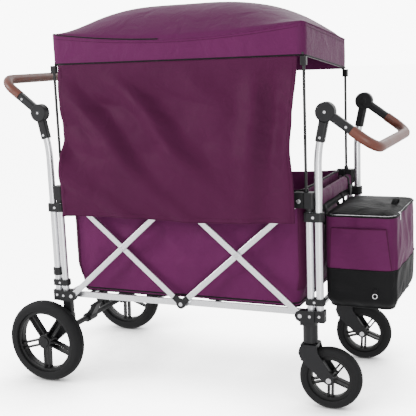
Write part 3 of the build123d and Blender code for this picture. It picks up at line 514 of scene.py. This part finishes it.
# ------------------------------------------------------------------ hard parts
class WAGON_OT_hard_parts(bpy.types.Operator):
    """Finishes of the tubes, brackets, wheels and grips"""
    bl_idname = "wagon.hard_parts"
    bl_label = "Hard parts"

    def execute(self, context):
        mats = finishes()
        by_slot = {"silver_tube": "aluminium", "rivet_steel": "steel", "black_plastic": "plastic",
                   "wheel_plastic": "rim", "tyre_foam": "rubber", "brown_leather": "leather",
                   "plum_fabric": "plum", "black_fabric": "black", "board_black": "board",
                   "black_tube": "black_paint"}
        slots = {s["node"]: s["material_slot"] for s in frame["record"]["subparts"]}
        for name, obj in frame["nodes"].items():
            obj.data.materials.clear()
            obj.data.materials.append(mats[by_slot[slots[name]]])
        return {"FINISHED"}


# ------------------------------------------------------------------ canopy
SEAM_AT = 0.7           # share of the way from the roof's middle to the hem at which the seam runs
BINDING_FROM = 0.975    # the black binding covers the cloth from here to the hem


def hem(y, s):
    return s.near_hem - s.tilt * (y + s.canopy_half_y) / (2 * s.canopy_half_y)


def roof_point(s, x, y):
    """Height of the roof's cloth over (x, y): edges that dip between the corners and a full crown."""
    a, b = abs(x) / s.canopy_half_x, abs(y) / s.canopy_half_y
    edge = hem(y, s) + s.valance - s.seam_dip * (1 - a ** 2) * ease(b * 1.2 - 0.2)
    ends = hem(y, s) + s.valance
    fullness = 4.4 if x < 0 else 2.9
    crown = (s.peak - ends) * (1 - a ** fullness) * (1 - b ** 2.6)
    base = edge if b > 0.999 else ends - s.seam_dip * (1 - a ** 2) * b ** 2.3
    return base + crown


def canopy_point(s, u, v):
    """The whole cover from the roof's middle (v = 0) over the seam (v = SEAM_AT) to the hem (v = 1)."""
    cloth = 0.0012
    hx, hy = s.canopy_half_x - cloth, s.canopy_half_y - cloth
    k = min(1.0, v / SEAM_AT)
    x, y = round_box_point(u, hx, hy, 0.022)
    x, y = x * k, y * k
    z = roof_point(s, x, y)
    side_on = max(abs(x) / hx, abs(y) / hy)
    z -= 0.006 * ease((side_on - 0.965) / 0.035)
    if v <= SEAM_AT:
        z += 0.0016 * ripple(x * 9, y * 9, 0, 1) * (1 - k ** 6)
        return Vector((x, y, z))
    down = (v - SEAM_AT) / (1 - SEAM_AT)
    low = hem(y, s)
    z = z + (low - z) * down
    out = 0.0022 * ripple(x * 12, y * 12, z * 5, 2) * math.sin(math.pi * min(1, down * 1.1))
    length = math.hypot(x, y) or 1
    return Vector((x * (1 + out / length), y * (1 + out / length), z))


class WAGON_OT_canopy(bpy.types.Operator):
    """Canopy cover: crowned roof, hanging valance, bound hem and seam piping"""
    bl_idname = "wagon.canopy"
    bl_label = "Canopy"

    def execute(self, context):
        s = context.scene.wagon_sizes
        mats = finishes()
        bm = cloth_grid(220, 80, lambda u, v: canopy_point(s, u, v), lambda u, v: int(v > BINDING_FROM))
        bmesh.ops.recalc_face_normals(bm, faces=bm.faces)
        cover = piece("canopy_cloth", bm, [mats["plum"], mats["black"]], "rear_slider")
        thicken(cover, 0.0016)
        bake_modifiers(cover)
        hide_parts("canopy_cover")
        parts = [self.ring(s, "canopy_seam", SEAM_AT, 0.0017, mats["plum"], (0.0, 1.0)),
                 self.ring(s, "canopy_hem_binding", 0.993, 0.0022, mats["black"], (0.0, 1.0)),
                 self.ring(s, "canopy_piping", 0.695, 0.0030, mats["black"], (0.56, 0.735)),
                 self.ring(s, "valance_stitching", 0.735, 0.0007, mats["curtain"], (0.0, 1.0))]
        for obj in [cover] + parts:
            folds_with_frame(obj)
        return {"FINISHED"}

    def ring(self, s, name, v, radius, mat, span):
        """Cord along the cover at height v, for the share span of the way round."""
        count = max(24, int(160 * (span[1] - span[0])))
        whole = span[1] - span[0] > 0.999
        points = []
        for k in range(count if whole else count + 1):
            u = span[0] + (span[1] - span[0]) * k / count
            p = canopy_point(s, u, v)
            length = math.hypot(p.x, p.y)
            points.append(p + Vector((p.x, p.y, 0)) / length * radius * 0.5)
        mesh = tube_mesh(points, radius, cyclic=whole)
        return dress(name, mesh, [mat], "rear_slider")


def curtain_point(s, u, v):
    """u runs from the rear edge to the front edge, v from the top down."""
    top, low = s.near_hem - 0.001, s.curtain_bottom
    z = top + (low - top) * v
    mid_pull = math.sin(math.pi * min(1, v * 1.05)) ** 2
    half = s.curtain_half_x
    x = -half + 2 * half * u
    x -= (0.008 * mid_pull + 0.004 * v) * ease((u - 0.8) / 0.2)
    x += 0.008 * mid_pull * ease((0.15 - u) / 0.15)
    z += 0.004 * math.sin(u * 7.0) * v + 0.006 * ease((u - 0.5) / 0.5) * v
    drop = ease(v * 1.35)
    y = -0.2515 - 0.0365 * drop
    hang = ease(v / 0.3)
    sway = 0.25 * ripple(u * 2.0, v * 2.0, 0, 12)
    free = 1 + 1.4 * ease((z - 0.70) / 0.12)
    fold = 0.0072 * math.sin(36 * (u + 0.10 * sway) + 1.2 * v) * ease((u - 0.70) / 0.16)
    slant = 22 * (u - 0.60 * v + 0.5 * sway)
    fold += 0.0066 * (math.sin(slant) + 0.35 * math.sin(2 * slant + 0.8)) * ease((0.88 - u) / 0.4)
    fold += 0.0046 * wrinkle(u * 3.5 - v * 2.6, v * 2.4 + u * 1.2, 0, 3)
    fold += 0.0022 * wrinkle(u * 8 - v * 5, v * 6, 0, 4)
    fold = max(-0.016, min(0.016, fold)) * hang * free
    return Vector((x, y + fold, z))


class WAGON_OT_curtain(bpy.types.Operator):
    """Side curtain that hangs from the near edge of the canopy"""
    bl_idname = "wagon.curtain"
    bl_label = "Side curtain"

    def execute(self, context):
        s = context.scene.wagon_sizes
        mats = finishes()
        bm = cloth_grid(120, 90, lambda u, v: curtain_point(s, u, v), flip=True)
        cloth = piece("curtain_cloth", bm, [mats["curtain"]], "rear_slider")
        thicken(cloth, 0.0014, 0.0)
        bake_modifiers(cloth)
        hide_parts("side_curtain")
        parts = []
        for name, line in (("curtain_hem_stitching", [(k / 60, 0.972) for k in range(61)]),
                           ("curtain_hem_edge", [(k / 60, 0.998) for k in range(61)]),
                           ("curtain_front_stitching", [(0.985, 0.02 + 0.975 * k / 50) for k in range(51)]),
                           ("curtain_rear_stitching", [(0.015, 0.02 + 0.975 * k / 50) for k in range(51)])):
            radius = 0.0013 if name.endswith("edge") else 0.0006
            points = [curtain_point(s, u, v) + Vector((0, -0.0008, 0)) for u, v in line]
            line_mesh = tube_mesh(points, radius)
            parts.append(dress(name, line_mesh, [mats["curtain"]], "rear_slider"))
        for obj in [cloth] + parts:
            folds_with_frame(obj)
        return {"FINISHED"}


# ------------------------------------------------------------------ tub
TUB_RING = 240          # faces round the tub
TUB_EDGE = 0.3          # share of the way from the floor's middle to the rim at which the floor ends
TUB_CORNER = 0.024


def tub_point(s, u, v):
    """v = 0 is the middle of the floor, TUB_EDGE its edge, 1 the rim."""
    k = min(1.0, v / TUB_EDGE)
    up = max(0.0, (v - TUB_EDGE) / (1 - TUB_EDGE))
    z = s.tub_bottom + (s.tub_top - s.tub_bottom) * up
    taper = 0.020 * (1 - ease((z - s.tub_bottom) / 0.10))
    hx, hy = s.tub_half_x - taper, s.tub_half_y
    x, y = round_box_point(u, hx, hy, TUB_CORNER)
    x, y = x * k, y * k
    if up > 0:
        side = abs(y) > hy - 0.012
        near_corner = max(0.0, 1 - (abs(x) / hx) ** 4) if side else max(0.0, 1 - (abs(y) / hy) ** 4)
        belly = math.sin(math.pi * min(1, up ** 0.8))
        out = 0.009 * belly * near_corner
        out += 0.0060 * ripple(x * 6 + z * 3, y * 6, z * 10, 5) * near_corner * ease(up * 6)
        out += 0.0070 * wrinkle(x * 8 + z * 6, y * 8, z * 11 - x * 5, 6) * near_corner * ease(up * 6)
        out += 0.0014 * ripple(x * 40, y * 40, z * 26, 13) * ease(up * 6)
        if side:
            y += math.copysign(out, y)
            z -= 0.010 * near_corner * ease((up - 0.8) / 0.2)
        else:
            x += math.copysign(out * 0.8, x)
            z += 0.003 * near_corner * ease((up - 0.8) / 0.2)
    else:
        z += 0.0015 * (1 - k)
    return Vector((x, y, z))


def corner_share(s):
    """Share of the way round the tub at which its first corner stands."""
    r = TUB_CORNER
    whole = 4 * (s.tub_half_x - r) + 4 * (s.tub_half_y - r) + 2 * math.pi * r
    return (s.tub_half_y - r + math.pi * r / 4) / whole


END_TUBE_X = 0.430      # both cross tubes at an end
HIGH_TUBE_Z = 0.645
LOW_TUBE_Z = 0.599


class WAGON_OT_sleeves(bpy.types.Operator):
    """Cloth sleeves over the cross tubes at both ends, below the tub's rim"""
    bl_idname = "wagon.sleeves"
    bl_label = "Tube sleeves"

    def execute(self, context):
        mats = finishes()
        for end, sx in (("front", 1), ("rear", -1)):
            self.over(mats, end, sx)
            self.round(mats, end, sx)
        self.lock_strap(mats, 0.185)
        return {"FINISHED"}

    def lock_strap(self, mats, y):
        """Strap and buckle on the front cross tube that hold the folded wagon together."""
        line = [(0.424, y, 0.6575), (0.434, y, 0.6580), (0.4425, y, 0.650), (0.4440, y, 0.634),
                (0.4445, y, 0.622)]
        piece("fold_lock_strap", strap(line, 0.022, 0.0016, (0, 1, 0)), [mats["webbing"]], "front_slider")
        bm = bmesh.new()
        eased_box(bm, (0.009, 0.028, 0.026), Matrix.Translation((0.4475, y, 0.615)), 0.003)
        eased_box(bm, (0.006, 0.016, 0.016), Matrix.Translation((0.4475, y, 0.600)), 0.002)
        piece("fold_lock_buckle", bm, [mats["plastic"]], "front_slider")

    def over(self, mats, end, sx):
        """Plum flap hung over the upper cross tube."""
        profile = ((-0.0112, -0.028), (-0.0114, -0.010), (-0.0104, 0.004), (-0.006, 0.0102), (0.0, 0.0120),
                   (0.006, 0.0102), (0.0104, 0.004), (0.0114, -0.010), (0.0112, -0.028))

        def at(u, v):
            k = min(len(profile) - 2, int(v * (len(profile) - 1)))
            f = v * (len(profile) - 1) - k
            dx = profile[k][0] * (1 - f) + profile[k + 1][0] * f
            dz = profile[k][1] * (1 - f) + profile[k + 1][1] * f
            y = -0.228 + 0.456 * u
            puff = 1 + 0.10 * ripple(y * 25, v * 3, 0, 14)
            return Vector((sx * (END_TUBE_X + dx * puff), y, HIGH_TUBE_Z + dz * puff))
        flap = piece(end + "_tube_flap", cloth_grid(90, 32, at), [mats["plum"]], end + "_slider")
        thicken(flap, 0.0012, 0.0)
        bake_modifiers(flap)

    def round(self, mats, end, sx):
        """Black sleeve round the lower cross tube."""
        def at(u, v):
            a = 2 * math.pi * v
            y = -0.226 + 0.452 * u
            r = 0.0102 + 0.0004 * ripple(y * 60, v * 4, 0, 15)
            return Vector((sx * END_TUBE_X + r * math.cos(a), y, LOW_TUBE_Z + r * math.sin(a)))
        bm = cloth_grid(90, 20, at)
        bmesh.ops.recalc_face_normals(bm, faces=bm.faces)
        sleeve = piece(end + "_tube_sleeve", bm, [mats["webbing"]], end + "_frame")
        thicken(sleeve, 0.0010, 1.0)
        bake_modifiers(sleeve)


class WAGON_OT_tub(bpy.types.Operator):
    """Fabric tub with its rim binding, base piping and corner strips"""
    bl_idname = "wagon.tub"
    bl_label = "Tub"

    def execute(self, context):
        s = context.scene.wagon_sizes
        mats = finishes()
        bm = cloth_grid(TUB_RING, 60, lambda u, v: tub_point(s, u, v))
        bmesh.ops.recalc_face_normals(bm, faces=bm.faces)
        self.outwards(bm)
        tub = piece("tub_cloth", bm, [mats["plum"]], "rear_frame")
        thicken(tub, 0.0035)
        bake_modifiers(tub)
        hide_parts("tub_fabric")
        parts = [self.ring(s, "tub_rim_binding", 0.995, 0.0032, mats["black"], "black_fabric"),
                 self.ring(s, "tub_base_piping", 0.315, 0.0026, mats["black"], "black_fabric")]
        share = corner_share(s)
        for name, u in (("front_far", share), ("rear_far", 0.5 - share), ("rear_near", 0.5 + share),
                        ("front_near", 1 - share)):
            parts.append(self.corner(s, name, u, mats))
        for obj in [tub] + parts:
            folds_with_frame(obj)
        return {"FINISHED"}

    def outwards(self, bm):
        """Turns the faces out if the shell came out inside out."""
        lowest = min(bm.faces, key=lambda f: f.calc_center_median().z)
        if lowest.normal.z > 0:
            bmesh.ops.reverse_faces(bm, faces=bm.faces)

    def ring(self, s, name, v, radius, mat, slot):
        points = [tub_point(s, k / 200, v) for k in range(200)]
        return dress(name, tube_mesh(points, radius, cyclic=True), [mat], "rear_frame")

    def corner(self, s, name, u, mats):
        """Binding strip sewn down a corner of the tub."""
        def at(across, down):
            p = tub_point(s, u + 0.011 * (across - 0.5), 0.995 - 0.60 * down)
            q = tub_point(s, u, 0.995 - 0.60 * down)
            return p + Vector((math.copysign(0.7, q.x), math.copysign(0.7, q.y), 0)) * 0.0012
        strip = piece("tub_corner_" + name, cloth_grid(8, 40, at), [mats["curtain"]], "rear_frame")
        thicken(strip, 0.0012, 0.0)
        return bake_modifiers(strip)


# ------------------------------------------------------------------ pads
def stuff(obj, voxel, pressure, cap, frames=20):
    """Swells a pad like foam in a sewn cover, by a short cloth simulation that is applied to the mesh."""
    scene = bpy.context.scene
    mod = obj.modifiers.new("even", "REMESH")
    mod.mode = "VOXEL"
    mod.voxel_size = voxel
    bake_modifiers(obj)
    rest = [v.co.copy() for v in obj.data.vertices]
    cloth = obj.modifiers.new("cloth", "CLOTH")
    cloth.settings.quality = 5
    cloth.settings.use_pressure = True
    cloth.settings.uniform_pressure_force = pressure
    cloth.settings.effector_weights.gravity = 0
    for k in range(1, frames + 1):
        scene.frame_set(k)
    bake_modifiers(obj)
    for vert, home in zip(obj.data.vertices, rest):
        move = vert.co - home
        if move.length > cap:
            vert.co = home + move.normalized() * cap
    scene.frame_set(1)
    soft = obj.modifiers.new("soft", "SUBSURF")
    soft.levels = soft.render_levels = 1
    bake_modifiers(obj)
    for face in obj.data.polygons:
        face.use_smooth = True
    return obj


def pad_body(size, at, r):
    """Closed pad with eased edges, before it is stuffed."""
    bm = bmesh.new()
    made = bmesh.ops.create_cube(bm, size=1.0)["verts"]
    bmesh.ops.scale(bm, vec=size, verts=made)
    bmesh.ops.translate(bm, vec=at, verts=made)
    upright = [e for e in bm.edges if abs((e.verts[0].co - e.verts[1].co).z) > size[2] * 0.9]
    bmesh.ops.bevel(bm, geom=upright, offset=r, offset_type="OFFSET", segments=5, profile=0.5,
                    affect="EDGES", material=-1)
    return bm


class WAGON_OT_pads(bpy.types.Operator):
    """Floor pad and the two padded backrests"""
    bl_idname = "wagon.pads"
    bl_label = "Pads"

    def execute(self, context):
        s = context.scene.wagon_sizes
        mats = finishes()
        low = s.tub_bottom + 0.006
        floor = piece("floor_cushion", pad_body((0.745, 0.405, 0.010), (0, 0, low + 0.0075), 0.03),
                      [mats["plum"]], "rear_frame", smooth=False)
        backs = []
        for name, side in (("front_backrest", 1), ("rear_backrest", -1)):
            pad = pad_body((0.012, 0.350, 0.31), (side * (s.tub_half_x - 0.0155), 0, low + 0.170), 0.004)
            backs.append(piece(name, pad, [mats["plum"]], "rear_frame", smooth=False))
        stuff(floor, 0.008, 3.0, 0.004)
        for pad in backs:
            stuff(pad, 0.006, 4.0, 0.006)
        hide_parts("tub_pads")
        for pad in [floor] + backs:
            folds_with_frame(pad)
        return {"FINISHED"}


# ------------------------------------------------------------------ harness
class WAGON_OT_harness(bpy.types.Operator):
    """Shoulder and lap webbing with its buckles, one set at each end"""
    bl_idname = "wagon.harness"
    bl_label = "Harness"

    def execute(self, context):
        s = context.scene.wagon_sizes
        mats = finishes()
        for end, sx in (("front", 1), ("rear", -1)):
            wall = s.tub_half_x - 0.031
            bm = bmesh.new()
            for y in (-0.10, 0.10):
                lines = [[(sx * wall, y, 0.640), (sx * (wall - 0.006), y, 0.58),
                          (sx * (wall - 0.010), y * 0.8, 0.50), (sx * (wall - 0.045), y * 0.35, 0.42),
                          (sx * (wall - 0.08), 0.0, 0.385)],
                         [(sx * (wall - 0.004), y * 1.5, 0.37), (sx * (wall - 0.035), y * 1.0, 0.375),
                          (sx * (wall - 0.07), y * 0.45, 0.382), (sx * (wall - 0.085), 0.0, 0.383)]]
                for line, across in zip(lines, ((0, 1, 0), (0, 0, 1))):
                    self.join(bm, strap(line, 0.025, 0.0016, across))
            straps = piece(end + "_harness_webbing", bm, [mats["webbing"]], "rear_frame")
            bm = bmesh.new()
            eased_box(bm, (0.014, 0.046, 0.056), Matrix.Translation((sx * (wall - 0.09), 0, 0.385)), 0.004)
            eased_box(bm, (0.008, 0.020, 0.020), Matrix.Translation((sx * (wall - 0.098), 0, 0.385)), 0.003)
            buckle = piece(end + "_harness_buckle", bm, [mats["plastic"]], "rear_frame")
            for obj in (straps, buckle):
                folds_with_frame(obj)
        return {"FINISHED"}

    def join(self, bm, other):
        mesh = bpy.data.meshes.new("part")
        other.to_mesh(mesh)
        other.free()
        bm.from_mesh(mesh)
        bpy.data.meshes.remove(mesh)


# ------------------------------------------------------------------ storage bag
BAG_X, BAG_HX, BAG_HY = 0.5585, 0.1115, 0.172
BAG_LOW, BAG_TOP, BAG_CORNER = 0.298, 0.588, 0.030
LID_X, LID_HX, LID_HY = 0.5610, 0.1035, 0.1665


def bag_wall(u, z):
    """Point on the bag's wall: full in the middle of each panel and pulled in at the rim and the base."""
    x, y = round_box_point(u, BAG_HX, BAG_HY, BAG_CORNER)
    up = (z - BAG_LOW) / (BAG_TOP - BAG_LOW)
    front = x > BAG_HX - 0.002
    panel = (1 - (abs(y) / BAG_HY) ** 4) if front else (1 - (abs(x) / BAG_HX) ** 4)
    panel = max(0.0, panel)
    out = -0.006 + 0.010 * math.sin(math.pi * min(1, max(0.0, up))) * panel
    out -= 0.020 * (1 - ease(up / 0.16)) ** 2
    out += 0.0035 * ripple(x * 11, y * 11, z * 13, 7) * panel
    out += 0.0045 * wrinkle(x * 12 + z * 5, y * 12, z * 13 - y * 6, 8) * panel
    length = math.hypot(x, y)
    if x < -BAG_HX + 0.012:
        out = min(out, -0.003)
    return Vector((BAG_X + x * (1 + out / length), y * (1 + out / length), z))


def bag_low_point(u, v):
    """Base and lower walls: v = 0 is the middle of the base."""
    if v < 0.35:
        k = v / 0.35
        edge = bag_wall(u, BAG_LOW)
        return Vector((BAG_X + (edge.x - BAG_X) * k, edge.y * k, BAG_LOW + 0.001 + 0.002 * (1 - k)))
    split = bpy.context.scene.wagon_sizes.bag_split
    return bag_wall(u, BAG_LOW + (split - BAG_LOW) * (v - 0.35) / 0.65)


def lid_point(u, v):
    """Domed lid: v = 0 is its middle, 0.85 its edge, 1 the foot of its zip band."""
    k = min(1.0, v / 0.85)
    x, y = round_box_point(u, LID_HX, LID_HY, 0.030)
    x, y = x * k, y * k
    z = 0.5935 + 0.013 * (1 - k ** 3.2) + 0.0028 * ripple(x * 14, y * 14, 0, 9) * (1 - k ** 4)
    z += 0.0024 * wrinkle(x * 14, y * 9, 0, 10) * (1 - k ** 4)
    if v > 0.85:
        z -= 0.0045 * (v - 0.85) / 0.15
    return Vector((LID_X + x, y, z))


class WAGON_OT_bag(bpy.types.Operator):
    """Storage bag: plum upper part, black base, domed lid and the side pocket"""
    bl_idname = "wagon.bag"
    bl_label = "Storage bag"

    def execute(self, context):
        s = context.scene.wagon_sizes
        mats = finishes()
        split = s.bag_split
        bm = cloth_grid(200, 40, lambda u, v: bag_wall(u, split + (BAG_TOP - split) * v))
        bmesh.ops.recalc_face_normals(bm, faces=bm.faces)
        upper = piece("bag_upper_cloth", bm, [mats["plum"]], "front_frame")
        bm = cloth_grid(200, 50, bag_low_point)
        bmesh.ops.recalc_face_normals(bm, faces=bm.faces)
        lowest = min(bm.faces, key=lambda f: f.calc_center_median().z)
        if lowest.normal.z > 0:
            bmesh.ops.reverse_faces(bm, faces=bm.faces)
        lower = piece("bag_lower_cloth", bm, [mats["black"]], "front_frame")
        bm = cloth_grid(160, 30, lid_point)
        bmesh.ops.recalc_face_normals(bm, faces=bm.faces)
        highest = max(bm.faces, key=lambda f: f.calc_center_median().z)
        if highest.normal.z < 0:
            bmesh.ops.reverse_faces(bm, faces=bm.faces)
        lid = piece("bag_lid_cloth", bm, [mats["lid"]], "bag_cover")
        for obj, wall in ((upper, 0.0025), (lower, 0.0025), (lid, 0.003)):
            thicken(obj, wall)
            bake_modifiers(obj)
        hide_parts("bag_body")
        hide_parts("bag_base")
        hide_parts("bag_lid")
        self.lines(mats, split)
        self.pocket(mats, split)
        self.straps(mats)
        self.zip(mats)
        return {"FINISHED"}

    def lines(self, mats, split):
        for name, z, radius, mat in (("bag_split_piping", split, 0.0022, "black"),
                                     ("bag_rim_binding", BAG_TOP - 0.001, 0.0030, "black"),
                                     ("bag_base_piping", BAG_LOW + 0.006, 0.0022, "black")):
            points = [bag_wall(k / 160, z) for k in range(160)]
            dress(name, tube_mesh(points, radius, cyclic=True), [mats[mat]], "front_frame")

    def pocket(self, mats, split):
        """Near-side pocket that flares downwards, with its bound top edge."""
        def at(u, v):
            z = 0.552 - (0.552 - split - 0.004) * v
            left, right = 0.474 - 0.006 * v, 0.640 + 0.016 * v
            x = left + (right - left) * u
            swell = 0.010 * math.sin(math.pi * u) * (0.35 + 0.65 * math.sin(math.pi * (0.15 + 0.7 * v)))
            swell += 0.002 * ripple(u * 5, v * 4, 0, 11)
            return Vector((x, -(BAG_HY + 0.001 + swell), z))
        bm = cloth_grid(50, 36, at, flip=False)
        pocket = piece("bag_side_pocket", bm, [mats["plum"]], "front_frame")
        thicken(pocket, 0.0016, 0.0)
        bake_modifiers(pocket)
        top = [at(k / 40, 0.0) for k in range(41)]
        side = [at(0.0, k / 30) for k in range(31)]
        other = [at(1.0, k / 30) for k in range(31)]
        for name, line in (("pocket_top_binding", top), ("pocket_rear_piping", side),
                           ("pocket_front_piping", other)):
            dress(name, tube_mesh(line, 0.0016), [mats["curtain"]], "front_frame")

    def straps(self, mats):
        """Straps that hang the bag from the cross tube, and the ring on its tab on the near side."""
        for name, y in (("near", -0.11), ("far", 0.11)):
            loop = [(0.446, y, 0.50), (0.4445, y, 0.56), (0.4438, y, 0.595), (0.440, y, 0.6085),
                    (0.430, y, 0.6128), (0.420, y, 0.6085), (0.4162, y, 0.598), (0.418, y, 0.587),
                    (0.424, y, 0.575), (0.440, y, 0.55)]
            piece("bag_strap_" + name, strap(loop, 0.030, 0.0016, (0, 1, 0)), [mats["webbing"]],
                  "front_frame")
        centre = Vector((0.608, -BAG_HY - 0.012, 0.350))
        ring = [centre + Vector((0.007 * math.cos(a), 0, 0.007 * math.sin(a)))
                for a in (2 * math.pi * k / 16 for k in range(16))]
        dress("bag_ring", tube_mesh(ring, 0.0012, cyclic=True), [mats["steel"]], "front_frame")
        tab = [(0.608, -BAG_HY - 0.001, 0.376), (0.608, -BAG_HY - 0.007, 0.368),
               (0.608, -BAG_HY - 0.010, 0.358)]
        piece("bag_ring_tab", strap(tab, 0.012, 0.0012, (1, 0, 0)), [mats["webbing"]], "front_frame")

    def zip(self, mats):
        """Zip round the lid: a row of teeth, the slider with its pull, and the lid's carry loop."""
        bm = bmesh.new()
        count = 190
        for k in range(count):
            u = -0.34 + 0.68 * k / count
            x, y = round_box_point(u, LID_HX - 0.001, LID_HY - 0.001, 0.030)
            place = Matrix.Translation((LID_X + x * 1.006, y * 1.006, 0.5912))
            made = bmesh.ops.create_cube(bm, size=0.0022)["verts"]
            bmesh.ops.transform(bm, matrix=place, verts=made)
        piece("lid_zip_teeth", bm, [mats["steel"]], "bag_cover", smooth=False)
        bm = bmesh.new()
        x, y = round_box_point(-0.1, LID_HX - 0.001, LID_HY - 0.001, 0.030)
        eased_box(bm, (0.006, 0.012, 0.005), Matrix.Translation((LID_X + 0.002 + x, y, 0.5915)), 0.0012)
        eased_box(bm, (0.002, 0.006, 0.020), Matrix.Translation((LID_X + 0.0055 + x, y, 0.5800)), 0.0008)
        piece("lid_zip_slider", bm, [mats["steel"]], "bag_cover")
        loop = []
        for k in range(15):
            a = math.pi * k / 14
            loop.append((0.633 + 0.004 * math.sin(a), -0.035 + 0.07 * k / 14, 0.600 + 0.017 * math.sin(a)))
        piece("lid_carry_loop", strap(loop, 0.016, 0.0014, (1, 0, 0)), [mats["webbing"]], "bag_cover")


# ------------------------------------------------------------------ grips
GRIP_DEG = {"front": -35.6, "rear": 38.0}       # each handle's rise outwards when the joints are at rest


def grip_line(end, offset_in, offset_up):
    """Points along the U of a grip, moved towards its middle and out of its plane."""
    joint = next(j for j in frame["joints"] if j["name"] == end + "_handle_hinge")
    ax, _, az = joint["pos_m"]
    s = 1 if end == "front" else -1
    angle = math.radians(GRIP_DEG[end])
    start, reach, half, r = 0.096, 0.180, 0.250, 0.056
    flat = []
    for k in range(6):
        flat.append((start + (reach - r - start) * k / 5, half - offset_in, 0))
    for k in range(1, 9):
        a = math.pi / 2 * k / 9
        rr = r - offset_in
        flat.append((reach - r + rr * math.sin(a), half - r + rr * math.cos(a), 0))
    for k in range(41):
        flat.append((reach - offset_in, (half - r) * (1 - 2 * k / 40), 0))
    flat += [(x, -y, z) for x, y, z in reversed(flat[:14])]
    out = []
    for x, y, _ in flat:
        px = x * math.cos(angle) - offset_up * math.sin(angle)
        pz = x * math.sin(angle) + offset_up * math.cos(angle)
        out.append(Vector((ax + s * px, y, az + pz)))
    return out


class WAGON_OT_lacing(bpy.types.Operator):
    """Laced seams along the inside of the leather grips"""
    bl_idname = "wagon.lacing"
    bl_label = "Grip lacing"

    def execute(self, context):
        mats = finishes()
        for end in ("front", "rear"):
            left = grip_line(end, 0.0150, 0.0045)
            right = grip_line(end, 0.0150, -0.0045)
            zigzag = []
            for k in range(len(left)):
                zigzag.append(left[k] if k % 2 else right[k])
            lace = tube_mesh(zigzag, 0.0010, smooth_line=False, sides=1)
            dress(end + "_grip_lacing", lace, [mats["lace"]], end + "_handle")
            back = [right[k] if k % 2 else left[k] for k in range(len(left))]
            lace = tube_mesh(back, 0.0010, smooth_line=False, sides=1)
            dress(end + "_grip_lacing_back", lace, [mats["lace"]], end + "_handle")
            for name, side in (("a", 0.0019), ("b", -0.0019)):
                seam = tube_mesh(grip_line(end, 0.0152, side), 0.0011)
                dress(end + "_grip_seam_" + name, seam, [mats["leather"]], end + "_handle")
        return {"FINISHED"}


# ------------------------------------------------------------------ panel and registration
STEPS = ("stage", "hard_parts", "canopy", "curtain", "tub", "sleeves", "pads", "harness", "bag", "lacing")


class WAGON_PT_panel(bpy.types.Panel):
    """Lists the wagon's sizes, colours and pieces"""
    bl_idname = "WAGON_PT_panel"
    bl_label = "Stroller wagon"
    bl_space_type = "VIEW_3D"
    bl_region_type = "UI"
    bl_category = "Wagon"

    def draw(self, context):
        layout = self.layout
        for group in (context.scene.wagon_sizes, context.scene.wagon_colours):
            for name in group.__annotations__:
                layout.prop(group, name)
        for step in STEPS:
            layout.operator("wagon." + step)


CLASSES = (WagonSizes, WagonColours, WAGON_OT_stage, WAGON_OT_hard_parts, WAGON_OT_canopy, WAGON_OT_curtain,
           WAGON_OT_tub, WAGON_OT_sleeves, WAGON_OT_pads, WAGON_OT_harness, WAGON_OT_bag, WAGON_OT_lacing,
           WAGON_PT_panel)


def register():
    for cls in CLASSES:
        bpy.utils.register_class(cls)
    bpy.types.Scene.wagon_sizes = PointerProperty(type=WagonSizes)
    bpy.types.Scene.wagon_colours = PointerProperty(type=WagonColours)


def unregister():
    del bpy.types.Scene.wagon_colours
    del bpy.types.Scene.wagon_sizes
    for cls in reversed(CLASSES):
        bpy.utils.unregister_class(cls)


def main():
    register()
    for step in STEPS:
        getattr(bpy.ops.wagon, step)()


if __name__ == "__main__":
    main()
